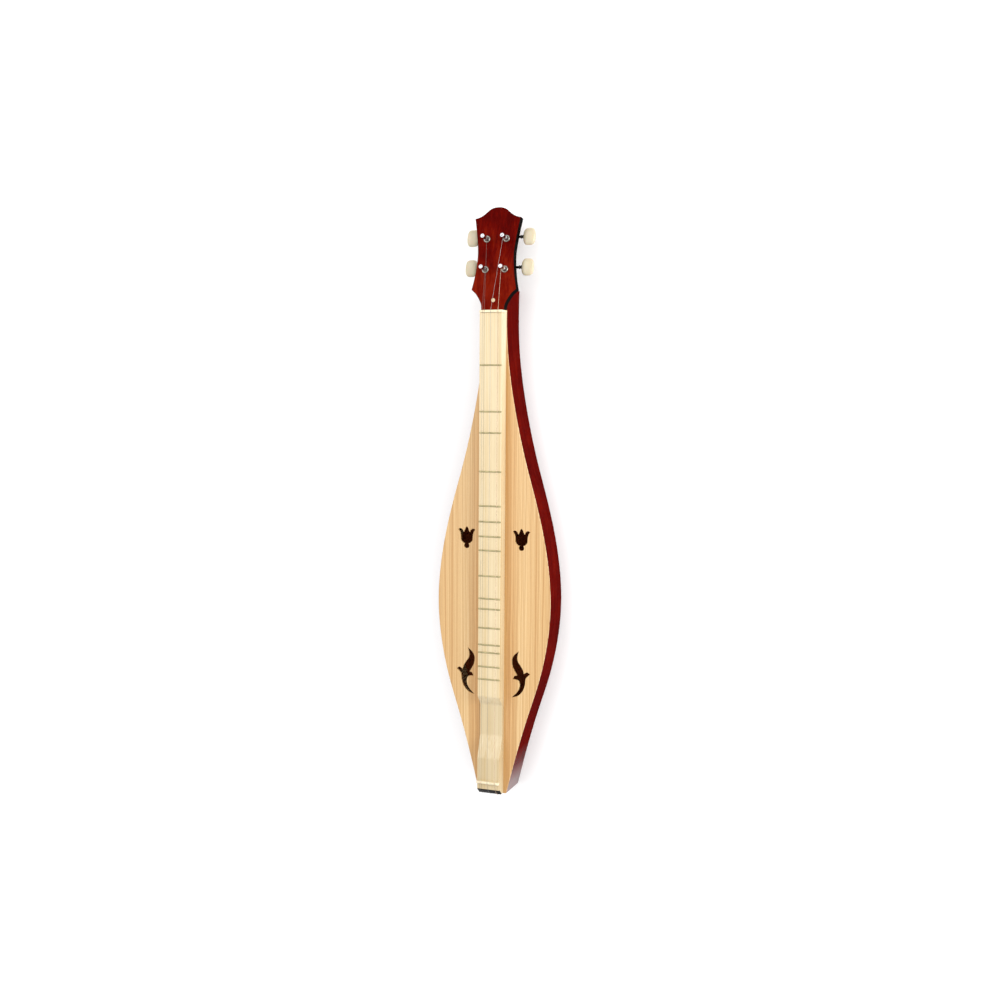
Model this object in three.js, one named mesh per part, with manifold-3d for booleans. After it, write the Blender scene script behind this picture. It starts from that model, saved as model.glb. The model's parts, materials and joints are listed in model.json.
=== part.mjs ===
// Mountain dulcimer: a teardrop sound box with a raised fretboard, a guitar-style headstock and geared tuners.
//
// Millimetres. X runs across the body, Y from the tail to the head and Z up from the underside of the back plate.
// Every Y below is measured from the bridge, where the speaking length of the strings starts. The last section
// moves the whole instrument so that the origin lies under the middle of its footprint.
import * as THREE from "three";
import { mergeVertices } from "three/addons/utils/BufferGeometryUtils.js";
import Module from "manifold-3d";

const wasm = await Module();
wasm.setup();

// ---------------------------------------------------------------- driving dimensions

const SCALE_LENGTH = 700; // speaking length of the strings, bridge to nut
const GAP = 0.3; // clearance between separate pieces that touch or slide
const SEAT = 0.1; // clearance under a flat flange or plate

const TAIL_END = -21.5;
const NECK_END = 736;
const BODY_DEPTH = 56; // underside of the back to the top of the soundboard
const PLATE_THICK = 3; // soundboard and back
const SIDE_THICK = 2.6;
const OUTLINE_STEPS = 44;
// Half widths of the teardrop at stations along its length.
const STATIONS = [TAIL_END, 40, 100, 150, 200, 270, 340, 420, 480, 540, 600, 660, NECK_END];
const HALF_WIDTHS = [22, 37.8, 55.4, 71.3, 82.8, 89.3, 83.5, 66.1, 49.3, 35.2, 24.5, 18.4, 18];

const FRETBOARD_WIDTH = 35.5;
const FRETBOARD_HEIGHT = 18;
const FRETBOARD_TAIL = -20.6;
const FRET_WIDTH = 2.4;
const FRET_CROWN = 1.1;
const TANG_WIDTH = 0.6;
const TANG_DEPTH = 1.6;
// The strum hollow: a steep ramp on the head side, a flat floor, and a long ramp up to the bridge.
const HOLLOW = { headTop: 129, headFoot: 115.5, tailFoot: 68, tailTop: 35.2, floor: 6.5 };

const NUT_THICK = 3.8;
const NUT_HEIGHT = 2.3; // above the fretboard
const BRIDGE_THICK = 4;
const BRIDGE_HEIGHT = 4.9; // above the fretboard
const BRIDGE_SLOT = 3;
// A plate on the fretboard's sloping tail end, which the strings come down over.
const SADDLE = { outer: -20.9, inner: -12.8, rise: 0.4, drop: 8.9, thick: 3.3 };

const HEAD_TILT = THREE.MathUtils.degToRad(8.56);
const HEAD_BASE = SCALE_LENGTH + NUT_THICK + 2 * GAP;
const SOUNDBOARD_END = HEAD_BASE - GAP;
const HEAD_RISE = 11.55; // front face above the soundboard, at its base
const HEAD_THICK = 11.5;
const DOWEL = { v: 14, radius: 3, proud: 0.4, intoBlock: 14 };

const TUNER_U = 15.2; // post from the headstock's centre line
const LOWER_TUNER_V = 59.7; // post above the headstock's base
const TUNER_PITCH = 45.5; // lower post to upper post
const POST_RADIUS = 3;
const POST_HEIGHT = 19.5;
const COIL_HEIGHT = 9; // where the string winds on, above the headstock's face
const COIL_RADIUS = 2.4; // the post's waist, under the windings
const GEAR = { teeth: 14, outer: 4.9, root: 4, thick: 3, tipShare: 0.3, rootShare: 0.44 };
const WORM = { offset: 7, depth: 18.5, core: 1.8, pitchRadius: 2.5 };
const THREAD = { at: 2.2, radius: 0.48, turns: 2.5, stepsPerTurn: 8 };
const EAR = { inner: 5, thick: 1.2, halfWidth: 3.4, bore: 2 };
const PLATE = { thick: 1.2, inner: 6.2, outer: 7.6, below: 11, above: 17 };
const BUTTON = { inner: 19.8, length: 18.5, height: 25.5, thick: 8, bore: 2.1, boreDepth: 10 };
const BUSHING = { flange: 5.3, flangeThick: 1.5, barrel: 4.2, bore: 3.3, depth: 8 };

const PIN = { radius: 1.1, head: 2, out: 5, into: 6, headThick: 1.2 };
const COIL_TURNS = 2;

// Each string: its radius, its place across the nut and bridge, its tuner, and the height of its tail pin.
const STRINGS = [
  { name: "melody_outer", radius: 0.15, x: -12.8, side: -1, row: 0, pinZ: 42 },
  { name: "melody_inner", radius: 0.15, x: -9.8, side: -1, row: 1, pinZ: 34 },
  { name: "middle", radius: 0.18, x: 0, side: 1, row: 1, pinZ: 38 },
  { name: "bass", radius: 0.3, x: 11.5, side: 1, row: 0, pinZ: 38 },
];

// Semitones above the open string of each fret of the diatonic fretboard.
const FRETS = [
  ["01", 2], ["02", 4], ["03", 5], ["04", 7], ["05", 9], ["06", 10], ["06_half", 11], ["07", 12],
  ["08", 14], ["09", 16], ["10", 17], ["11", 19], ["12", 21], ["13", 22], ["14", 24], ["15", 26],
];

// Derived heights.
const TOP_UNDERSIDE = BODY_DEPTH - PLATE_THICK;
const FRETBOARD_TOP = BODY_DEPTH + FRETBOARD_HEIGHT;
const NUT_TOP = FRETBOARD_TOP + NUT_HEIGHT;
const BRIDGE_TOP = FRETBOARD_TOP + BRIDGE_HEIGHT;
const SADDLE_TOP = FRETBOARD_TOP + SADDLE.rise;
const SADDLE_FOOT = SADDLE_TOP - SADDLE.drop;

// ---------------------------------------------------------------- materials

const paint = (color, roughness, metalness = 0) =>
  new THREE.MeshStandardMaterial({ color, roughness, metalness, flatShading: true });
const SPRUCE = paint(0xe4c48c, 0.45);
const LIGHT_WOOD = paint(0xf0dcb4, 0.45);
const RED_WOOD = paint(0x6e1408, 0.25);
const BRACE_WOOD = paint(0xd8bb88, 0.7);
const BONE = paint(0xfaf0d8, 0.35);
const CREAM_PLASTIC = paint(0xdfd2b2, 0.35);
const EBONY = paint(0x23201c, 0.5);
const CHROME = paint(0xc8c8cc, 0.15, 1);
const BRASS = paint(0xb99a55, 0.3, 1);
const FRET_WIRE = paint(0xa39a78, 0.35, 1);
const STEEL = paint(0xb8b8ba, 0.3, 1);
const BRONZE = paint(0xb07a4c, 0.35, 1);

// ---------------------------------------------------------------- solids

// A manifold-3d solid from a closed three.js geometry.
function solidOf(geometry) {
  const bare = geometry.clone();
  bare.deleteAttribute("normal");
  bare.deleteAttribute("uv");
  const merged = mergeVertices(bare, 1e-4);
  const mesh = new wasm.Mesh({
    numProp: 3,
    vertProperties: merged.attributes.position.array,
    triVerts: new Uint32Array(merged.index.array),
  });
  return new wasm.Manifold(mesh);
}

// A three.js geometry from a manifold-3d solid.
function geometryOf(solid) {
  const mesh = solid.getMesh();
  const geometry = new THREE.BufferGeometry();
  geometry.setAttribute("position", new THREE.BufferAttribute(mesh.vertProperties, 3));
  geometry.setIndex(new THREE.BufferAttribute(mesh.triVerts, 1));
  geometry.computeVertexNormals();
  return geometry;
}

// The first geometry less all the others.
function cut(geometry, ...cutters) {
  const solid = cutters.reduce((left, cutter) => left.subtract(solidOf(cutter)), solidOf(geometry));
  return geometryOf(solid);
}

function join(...geometries) {
  return geometryOf(geometries.map(solidOf).reduce((whole, part) => whole.add(part)));
}

function box(x0, x1, y0, y1, z0, z1) {
  const geometry = new THREE.BoxGeometry(x1 - x0, y1 - y0, z1 - z0);
  return geometry.translate((x0 + x1) / 2, (y0 + y1) / 2, (z0 + z1) / 2);
}

// A shape drawn in X and Y, raised from z0 to z1.
function slab(shape, z0, z1, curveSegments = 8) {
  const options = { depth: z1 - z0, bevelEnabled: false, curveSegments };
  return new THREE.ExtrudeGeometry(shape, options).translate(0, 0, z0);
}

// A profile drawn in Y and Z, run from x0 to x1.
function run(profile, x0, x1, curveSegments = 6) {
  const basis = new THREE.Matrix4().makeBasis(
    new THREE.Vector3(0, 1, 0),
    new THREE.Vector3(0, 0, 1),
    new THREE.Vector3(1, 0, 0),
  );
  const options = { depth: x1 - x0, bevelEnabled: false, curveSegments };
  return new THREE.ExtrudeGeometry(profile, options).applyMatrix4(basis).translate(x0, 0, 0);
}

// A turned piece about its own Z axis, from [radius, z] pairs that rise and start and end on the axis.
function turned(profile, segments = 12) {
  const points = profile.map(([radius, z]) => new THREE.Vector2(radius, z));
  return new THREE.LatheGeometry(points, segments).rotateX(Math.PI / 2);
}

// The same along X, for shafts that lie across the headstock.
const turnedAlongX = (profile, segments) =>
  turned(profile, segments).rotateY(Math.PI / 2);

const cylinder = (radius, z0, z1, segments = 12) =>
  turned([[0, z0], [radius, z0], [radius, z1], [0, z1]], segments);

// A shape through [x, y] corners, always drawn anticlockwise.
function polygon(corners) {
  const points = corners.map(([x, y]) => new THREE.Vector2(x, y));
  return new THREE.Shape(THREE.ShapeUtils.isClockWise(points) ? points.reverse() : points);
}

// A route through points, sampled at exactly those points, for round wire that is straight between bends.
class WireRoute extends THREE.Curve {
  constructor(points) {
    super();
    this.points = points;
  }
  getPoint(t, target = new THREE.Vector3()) {
    const place = Math.min(t, 1) * (this.points.length - 1);
    const i = Math.min(Math.floor(place), this.points.length - 2);
    return target.lerpVectors(this.points[i], this.points[i + 1], place - i);
  }
  // At a bend, halfway between the directions before and after it.
  getTangent(t, target = new THREE.Vector3()) {
    const last = this.points.length - 1;
    const i = Math.round(t * last);
    const here = this.points[i];
    const before = here.clone().sub(this.points[Math.max(i - 1, 0)]).normalize();
    const after = this.points[Math.min(i + 1, last)].clone().sub(here).normalize();
    return target.addVectors(before, after).normalize();
  }
  getUtoTmapping(u) {
    return u;
  }
}

function wire(points, radius, sides = 8) {
  const section = new THREE.Shape();
  for (let i = 0; i < sides; i++) {
    const angle = (2 * Math.PI * i) / sides;
    section[i ? "lineTo" : "moveTo"](radius * Math.cos(angle), radius * Math.sin(angle));
  }
  const extrudePath = new WireRoute(points);
  return new THREE.ExtrudeGeometry(section, { steps: points.length - 1, extrudePath });
}

// ---------------------------------------------------------------- the teardrop outline

const outlineCurve = new THREE.CubicInterpolant(STATIONS, HALF_WIDTHS, 1);
const halfWidth = (y) => outlineCurve.evaluate(y)[0];

// Half width less an inset measured square to the edge.
function insetHalfWidth(y, inset) {
  const step = 1;
  const low = Math.max(y - step, TAIL_END);
  const high = Math.min(y + step, NECK_END);
  const slope = (halfWidth(high) - halfWidth(low)) / (high - low);
  return halfWidth(y) - inset * Math.hypot(1, slope);
}

// [x, y] points up the right-hand edge between two stations.
function edgePoints(y0, y1, inset = 0, steps = OUTLINE_STEPS) {
  return Array.from({ length: steps + 1 }, (_, i) => {
    const y = y0 + ((y1 - y0) * i) / steps;
    return [insetHalfWidth(y, inset), y];
  });
}

const mirrored = (points) => points.map(([x, y]) => [-x, y]).reverse();

// The whole teardrop between two stations.
function teardrop(y0, y1, inset = 0, steps = OUTLINE_STEPS) {
  const right = edgePoints(y0, y1, inset, steps);
  return polygon([...right, ...mirrored(right)]);
}

// ---------------------------------------------------------------- sound holes, for the right-hand half

// Points along stretches of smooth curve. Each stretch is a list of [x, y], and neighbours meet at a corner.
function curvePoints(stretches, divisions) {
  const path = new THREE.Path();
  path.moveTo(...stretches[0][0]);
  for (const stretch of stretches) {
    path.splineThru(stretch.slice(1).map(([x, y]) => new THREE.Vector2(x, y)));
  }
  return path.getPoints(divisions);
}

// A closed hole from stretches that end where they began.
const curvedHole = (stretches, divisions) => new THREE.Path(curvePoints(stretches, divisions).slice(1));

// A tulip with three petals on a round bulb.
function tulipHole(mirror) {
  const centre = 43.6;
  const side = [
    [[0, 349.6], [3, 350.6], [4.3, 353.8], [3.1, 356.9]],
    [[3.1, 356.9], [6, 358.2], [9.2, 362], [9.9, 369], [11.2, 374.6], [13.8, 378]],
    [[13.8, 378], [10.6, 379.6], [7.4, 378.4]],
    [[7.4, 378.4], [6, 376.6], [4.9, 374.2]],
    [[4.9, 374.2], [3.5, 376.8], [2.4, 380], [0, 383]],
  ];
  const otherSide = side.map(mirrored).reverse();
  const place = ([x, y]) => [mirror * (centre + x), y];
  return curvedHole([...side, ...otherSide].map((stretch) => stretch.map(place)), 2);
}

// A bird in flight: head and beak outwards, one wing up, one wing down, a stub tail towards the fretboard.
function birdHole(mirror) {
  const stretches = [
    [[40.9, 198.3], [34.6, 193], [30.6, 187.2], [29.8, 181], [31.4, 173], [38, 161.2]],
    [[38, 161.2], [34.2, 160.2], [31.6, 155.2]],
    [[31.6, 155.2], [36, 155], [40.4, 153.4], [42.5, 147.6], [41.2, 140.6], [37, 134], [30, 127.3]],
    [[30, 127.3], [39.4, 130.2], [46.8, 137.4], [50.8, 147], [52, 156.8], [55, 161], [58.9, 164.6]],
    [[58.9, 164.6], [54.4, 167.4], [49.4, 164.6]],
    [[49.4, 164.6], [47.4, 170.8], [43.4, 177.2], [39.6, 182.8], [38.6, 189.4], [40.9, 198.3]],
  ];
  const place = ([x, y]) => [mirror * x, y];
  return curvedHole(stretches.map((stretch) => stretch.map(place)), 2);
}

// ---------------------------------------------------------------- frames for the parts of the head

// The headstock's own frame: u across, v up its face from the base, n out of its face.
const head = new THREE.Group();
head.position.set(0, HEAD_BASE, BODY_DEPTH + HEAD_RISE);
head.rotation.x = -HEAD_TILT;
head.updateMatrix();

const inHead = (u, v, n) => new THREE.Vector3(u, v, n).applyMatrix4(head.matrix);
const toBody = (geometry) => geometry.applyMatrix4(head.matrix);
const tunerV = (row) => LOWER_TUNER_V + row * TUNER_PITCH;

// The room over the sides and the head block: the soundboard's seat, then the sloping seat of the headstock.
function aboveRims() {
  const soundboardSeat = box(-200, 200, -100, SOUNDBOARD_END, TOP_UNDERSIDE, 100);
  return join(soundboardSeat, toBody(box(-60, 60, -2, 60, -HEAD_THICK - GAP, 30)));
}
const dowelBore = () =>
  cylinder(DOWEL.radius + GAP, -HEAD_THICK - DOWEL.intoBlock - 1, 5).translate(0, DOWEL.v, 0);

// ---------------------------------------------------------------- sound box

const instrument = new THREE.Group();

function add(parent, name, geometry, material) {
  const mesh = new THREE.Mesh(geometry, material);
  mesh.name = name;
  parent.add(mesh);
  return mesh;
}

// One bookmatched half of the soundboard with its two sound holes.
function soundboardHalf(mirror) {
  const edge = edgePoints(TAIL_END, SOUNDBOARD_END);
  const seam = [[GAP / 2, SOUNDBOARD_END], [GAP / 2, TAIL_END]];
  const shape = polygon([...edge, ...seam].map(([x, y]) => [mirror * x, y]));
  shape.holes.push(tulipHole(mirror), birdHole(mirror));
  return slab(shape, TOP_UNDERSIDE, BODY_DEPTH);
}

function bentSide(mirror) {
  const outer = edgePoints(TAIL_END, NECK_END);
  const inner = edgePoints(TAIL_END, NECK_END, SIDE_THICK).reverse();
  const shape = polygon([...outer, ...inner].map(([x, y]) => [mirror * x, y]));
  return cut(slab(shape, PLATE_THICK, BODY_DEPTH), aboveRims());
}

const BLOCK_INSET = SIDE_THICK + GAP;
const TAIL_BLOCK_END = 14;
const HEAD_BLOCK_START = 640;

function tailBlock() {
  const block = slab(teardrop(TAIL_END, TAIL_BLOCK_END, BLOCK_INSET, 4), PLATE_THICK, TOP_UNDERSIDE);
  const bores = STRINGS.map((string) => {
    const bore = cylinder(PIN.radius + GAP, 0, PIN.into + 2).rotateX(-Math.PI / 2);
    return bore.translate(pinX(string), TAIL_END - 1, string.pinZ);
  });
  return cut(block, ...bores);
}

function headBlock() {
  const block = slab(teardrop(HEAD_BLOCK_START, NECK_END, BLOCK_INSET, 8), PLATE_THICK, BODY_DEPTH);
  return cut(block, aboveRims(), toBody(dowelBore()));
}

// A cross bar glued to the back or under the soundboard, rounded on its free side.
function brace(y, glueZ, direction) {
  const half = 4;
  const height = 10;
  const reach = Math.min(insetHalfWidth(y - half, BLOCK_INSET), insetHalfWidth(y + half, BLOCK_INSET));
  const freeZ = glueZ + direction * height;
  const shoulderZ = glueZ + direction * (height - 3);
  const ring = [[y - half, glueZ], [y + half, glueZ], [y + half, shoulderZ], [y + 1.5, freeZ],
    [y - 1.5, freeZ], [y - half, shoulderZ]];
  return run(polygon(direction > 0 ? ring : ring.reverse()), -reach, reach);
}

for (const [label, mirror] of [["left", -1], ["right", 1]]) {
  add(instrument, `soundboard_${label}`, soundboardHalf(mirror), SPRUCE);
  add(instrument, `side_${label}`, bentSide(mirror), RED_WOOD);
}
add(instrument, "back_plate", slab(teardrop(TAIL_END, NECK_END), 0, PLATE_THICK), RED_WOOD);

// ---------------------------------------------------------------- strings' tail pins

// A string comes down the tail and turns once round its pin, so the pin stands beside the string's line.
const loopRadius = (string) => PIN.radius + GAP + string.radius;
const pinX = (string) => string.x - loopRadius(string);

add(instrument, "tail_block", tailBlock(), RED_WOOD);
add(instrument, "head_block", headBlock(), RED_WOOD);
for (const [label, y] of [["upper", 440], ["lower", 105]]) {
  add(instrument, `soundboard_brace_${label}`, brace(y, TOP_UNDERSIDE, -1), BRACE_WOOD);
}
for (const [label, y] of [["upper", 430], ["middle", 270], ["lower", 95]]) {
  add(instrument, `back_brace_${label}`, brace(y, PLATE_THICK, 1), BRACE_WOOD);
}

for (const string of STRINGS) {
  const tip = PIN.out + PIN.into;
  const profile = [[0, 0], [PIN.radius, 0], [PIN.radius, tip - PIN.headThick],
    [PIN.head, tip - PIN.headThick], [PIN.head, tip - 0.4], [PIN.head - 0.6, tip], [0, tip]];
  const pin = turned(profile, 10).rotateX(Math.PI / 2);
  pin.translate(pinX(string), TAIL_END + PIN.into, string.pinZ);
  add(instrument, `tail_pin_${string.name}`, pin, BRASS);
}

// ---------------------------------------------------------------- fretboard, frets, nut, bridge, saddle

const fretY = (semitones) => SCALE_LENGTH * 2 ** (-semitones / 12);

// The side view of the fretboard: fret slots, the strum hollow and the bridge slot, from the nut to the tail.
function fretboardProfile() {
  const top = FRETBOARD_TOP;
  const slot = (y0, y1, depth) => [[y1, top], [y1, top - depth], [y0, top - depth], [y0, top]];
  const tangSlot = TANG_WIDTH / 2 + GAP;
  const fretSlots = FRETS.flatMap(([, semitones]) => {
    const y = fretY(semitones);
    return slot(y - tangSlot, y + tangSlot, TANG_DEPTH + GAP);
  });
  const floor = BODY_DEPTH + HOLLOW.floor;
  const underSaddle = SADDLE_TOP - SADDLE.thick;
  return polygon([
    [FRETBOARD_TAIL, BODY_DEPTH],
    [SCALE_LENGTH - GAP, BODY_DEPTH],
    [SCALE_LENGTH - GAP, top],
    ...fretSlots,
    [HOLLOW.headTop, top],
    [HOLLOW.headFoot, floor],
    [HOLLOW.tailFoot, floor],
    [HOLLOW.tailTop, top],
    ...slot(-BRIDGE_THICK - GAP, GAP, BRIDGE_SLOT),
    [SADDLE.inner + GAP, top],
    [SADDLE.inner + GAP, underSaddle],
    [FRETBOARD_TAIL, underSaddle - SADDLE.drop],
  ]);
}

const HALF_BOARD = FRETBOARD_WIDTH / 2;
add(instrument, "fretboard", run(fretboardProfile(), -HALF_BOARD, HALF_BOARD), LIGHT_WOOD);

// Fret wire: a domed crown over a tang.
function fretProfile(y) {
  const half = FRET_WIDTH / 2;
  const tang = TANG_WIDTH / 2;
  const top = FRETBOARD_TOP;
  const outline = [[-tang, -TANG_DEPTH], [tang, -TANG_DEPTH], [tang, 0], [half, 0], [half * 0.8, 0.6],
    [half * 0.35, FRET_CROWN], [-half * 0.35, FRET_CROWN], [-half * 0.8, 0.6], [-half, 0], [-tang, 0]];
  return polygon(outline.map(([dy, dz]) => [y + dy, top + dz]));
}

const FRET_END_TRIM = 0.3; // the wire stops just inside the board's edges
for (const [label, semitones] of FRETS) {
  const reach = HALF_BOARD - FRET_END_TRIM;
  add(instrument, `fret_${label}`, run(fretProfile(fretY(semitones)), -reach, reach), FRET_WIRE);
}

// Grooves along Y for the strings, with their floor under each string's centre line.
const stringGrooves = (y0, y1, z) =>
  STRINGS.map(({ x, radius }) => box(x - radius - GAP, x + radius + GAP, y0, y1, z - radius - 0.1, z + 5));

// Heights of a string's centre line on the nut and the bridge.
const NUT_STRING_Z = NUT_TOP - 0.5;
const BRIDGE_STRING_Z = BRIDGE_TOP - 0.5;

function nut() {
  const y0 = SCALE_LENGTH;
  const y1 = SCALE_LENGTH + NUT_THICK;
  const profile = polygon([[y0, BODY_DEPTH], [y1, BODY_DEPTH], [y1, NUT_TOP - 1.2], [y1 - 1, NUT_TOP - 0.3],
    [y0 + 0.6, NUT_TOP], [y0, NUT_TOP - 0.4]]);
  return cut(run(profile, -HALF_BOARD, HALF_BOARD), ...stringGrooves(y0 - 1, y1 + 1, NUT_STRING_Z - 0.2));
}

function bridge() {
  const foot = FRETBOARD_TOP - BRIDGE_SLOT + GAP;
  const profile = polygon([[-BRIDGE_THICK, foot], [0, foot], [0, BRIDGE_TOP - 0.6], [-0.8, BRIDGE_TOP],
    [-2.2, BRIDGE_TOP - 0.1], [-BRIDGE_THICK, BRIDGE_TOP - 1.6]]);
  const reach = HALF_BOARD - 0.4;
  return cut(run(profile, -reach, reach), ...stringGrooves(-BRIDGE_THICK - 1, 1, BRIDGE_STRING_Z));
}

function tailSaddle() {
  const { outer, inner, thick } = SADDLE;
  const profile = polygon([[inner, SADDLE_TOP - thick], [inner, SADDLE_TOP - 0.5],
    [inner - 0.8, SADDLE_TOP - 0.2], [outer, SADDLE_FOOT], [outer, SADDLE_FOOT - thick]]);
  return run(profile, -HALF_BOARD, HALF_BOARD);
}

add(instrument, "nut", nut(), BONE);
add(instrument, "bridge", bridge(), BONE);
add(instrument, "tail_saddle", tailSaddle(), EBONY);

// ---------------------------------------------------------------- headstock

// Half of the outline, up the right-hand side: hollow shoulder, lower horn, waist, upper horn and dome.
function headstockShape() {
  const stretches = [
    [[18, -4], [18, 1]],
    [[18, 1], [18.9, 8], [22.4, 15.4], [28, 23.6], [35.2, 30]],
    [[35.2, 30], [31.6, 47], [29.3, 65], [28.3, 82], [29.6, 98], [32.2, 117], [35.7, 136.6]],
    [[35.7, 136.6], [31, 137.4], [25, 140], [18.5, 144.6], [12.4, 149.6], [6, 152], [0, 152.6]],
  ];
  const side = curvePoints(stretches, 3).map(({ x, y }) => [x, y]);
  return polygon([...side, ...mirrored(side).slice(1)]);
}

function headstock() {
  const board = slab(headstockShape(), -HEAD_THICK, 0);
  const bores = [-1, 1].flatMap((side) =>
    [0, 1].map((row) =>
      cylinder(BUSHING.barrel + GAP, -HEAD_THICK - 1, 1).translate(side * TUNER_U, tunerV(row), 0)));
  // The base is cut upright, to stand against the nut.
  const belowBase = box(-60, 60, HEAD_BASE - 40, HEAD_BASE, 0, 120);
  belowBase.applyMatrix4(head.matrix.clone().invert());
  return cut(board, belowBase, dowelBore(), ...bores);
}

add(head, "headstock", headstock(), RED_WOOD);
const dowel = cylinder(DOWEL.radius, -HEAD_THICK - DOWEL.intoBlock, DOWEL.proud, 16);
add(head, "headstock_dowel", dowel.translate(0, DOWEL.v, 0), LIGHT_WOOD);

// ---------------------------------------------------------------- geared tuners

// A tuner's own frame: u outwards along the worm shaft, v up the headstock, n out of its face, origin on the
// post's axis at the front face. The left-hand tuners are the mirror image of the right-hand ones.

// The toothed wheel on the post's foot, with a gap between two teeth facing the worm.
function gearWheel() {
  const pitch = (2 * Math.PI) / GEAR.teeth;
  const at = (radius, angle) => [-radius * Math.sin(angle), radius * Math.cos(angle)];
  const points = [];
  for (let i = 0; i < GEAR.teeth; i++) {
    const middle = (i + 0.5) * pitch;
    points.push(at(GEAR.root, middle - (pitch * GEAR.rootShare) / 2));
    points.push(at(GEAR.outer, middle - (pitch * GEAR.tipShare) / 2));
    points.push(at(GEAR.outer, middle + (pitch * GEAR.tipShare) / 2));
    points.push(at(GEAR.root, middle + (pitch * GEAR.rootShare) / 2));
  }
  return slab(polygon(points), -WORM.depth - GEAR.thick / 2, -WORM.depth + GEAR.thick / 2);
}

function stringPost() {
  const foot = -WORM.depth - GEAR.thick / 2;
  const profile = [[0, foot - 1], [2, foot - 1], [2, foot + GEAR.thick], [3.4, foot + GEAR.thick],
    [3.4, -HEAD_THICK - PLATE.thick - 2 * GAP], [POST_RADIUS, -HEAD_THICK - PLATE.thick - 2 * GAP],
    [POST_RADIUS, COIL_HEIGHT - 2.6], [COIL_RADIUS, COIL_HEIGHT - 1.8], [COIL_RADIUS, COIL_HEIGHT + 3.2],
    [POST_RADIUS, COIL_HEIGHT + 4.4], [POST_RADIUS, POST_HEIGHT - 0.8], [2.2, POST_HEIGHT], [0, POST_HEIGHT]];
  const stringHole = cylinder(0.8, -5, 5, 8).rotateY(Math.PI / 2).translate(0, 0, COIL_HEIGHT + 2.3);
  return cut(join(turned(profile), gearWheel()), stringHole);
}

// The worm's ridge faces the gear where the shaft passes over the post.
function wormShaft() {
  const lead = (2 * Math.PI * (WORM.offset - WORM.pitchRadius)) / GEAR.teeth;
  const steps = Math.round(THREAD.turns * THREAD.stepsPerTurn);
  const ridge = Array.from({ length: steps + 1 }, (_, i) => {
    const angle = (i / steps - 0.5) * THREAD.turns * 2 * Math.PI;
    const along = (lead * angle) / (2 * Math.PI);
    return new THREE.Vector3(along, -THREAD.at * Math.cos(angle), -THREAD.at * Math.sin(angle));
  });
  const earOut = EAR.inner + EAR.thick + GAP;
  const neck = BUTTON.inner - 0.3;
  const tang = BUTTON.inner + BUTTON.boreDepth - 1;
  const profile = [[0, -earOut - 1.2], [2.6, -earOut - 1.2], [2.6, -earOut], [WORM.core, -earOut],
    [WORM.core, earOut], [2.8, earOut], [2.8, earOut + 1.4], [2, earOut + 1.4], [2, 15.4], [2.9, 16],
    [2.9, 16.8], [2, 17.4], [2, neck - 1.2], [2.9, neck - 0.8], [2.9, neck], [1.8, neck],
    [1.8, tang], [0, tang]];
  const shaft = join(turnedAlongX(profile, 10), wire(ridge, THREAD.radius, 6));
  return shaft.translate(0, WORM.offset, -WORM.depth);
}

// A flat oval button, thickest in the middle.
function button() {
  const half = BUTTON.length / 2;
  const tall = BUTTON.height / 2;
  const shape = new THREE.Shape();
  const squareness = 0.62;
  shape.moveTo(half, 0);
  shape.bezierCurveTo(half, tall * squareness, half * squareness, tall, 0, tall);
  shape.bezierCurveTo(-half * 0.8, tall, -half, tall * 0.8, -half, 0);
  shape.bezierCurveTo(-half, -tall * 0.8, -half * 0.8, -tall, 0, -tall);
  shape.bezierCurveTo(half * squareness, -tall, half, -tall * squareness, half, 0);
  const bevel = 1.6;
  const options = {
    depth: BUTTON.thick - 2 * bevel, curveSegments: 5, bevelSize: bevel, bevelThickness: bevel,
    bevelOffset: -bevel, bevelSegments: 1,
  };
  const oval = new THREE.ExtrudeGeometry(shape, options).translate(0, 0, bevel - BUTTON.thick / 2);
  oval.translate(BUTTON.inner + half, 0, 0);
  const bore = cylinder(BUTTON.bore, -1, BUTTON.boreDepth, 10).rotateY(Math.PI / 2);
  return cut(oval, bore.translate(BUTTON.inner, 0, 0)).translate(0, WORM.offset, -WORM.depth);
}

function bushing() {
  const { flange, flangeThick, barrel, bore, depth } = BUSHING;
  const ring = [[bore, -depth], [barrel, -depth], [barrel, SEAT], [flange, SEAT], [flange, flangeThick * 0.6],
    [flange - 0.9, flangeThick], [bore + 0.4, flangeThick], [bore, flangeThick - 0.4], [bore, -depth]];
  return turned(ring);
}

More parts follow.
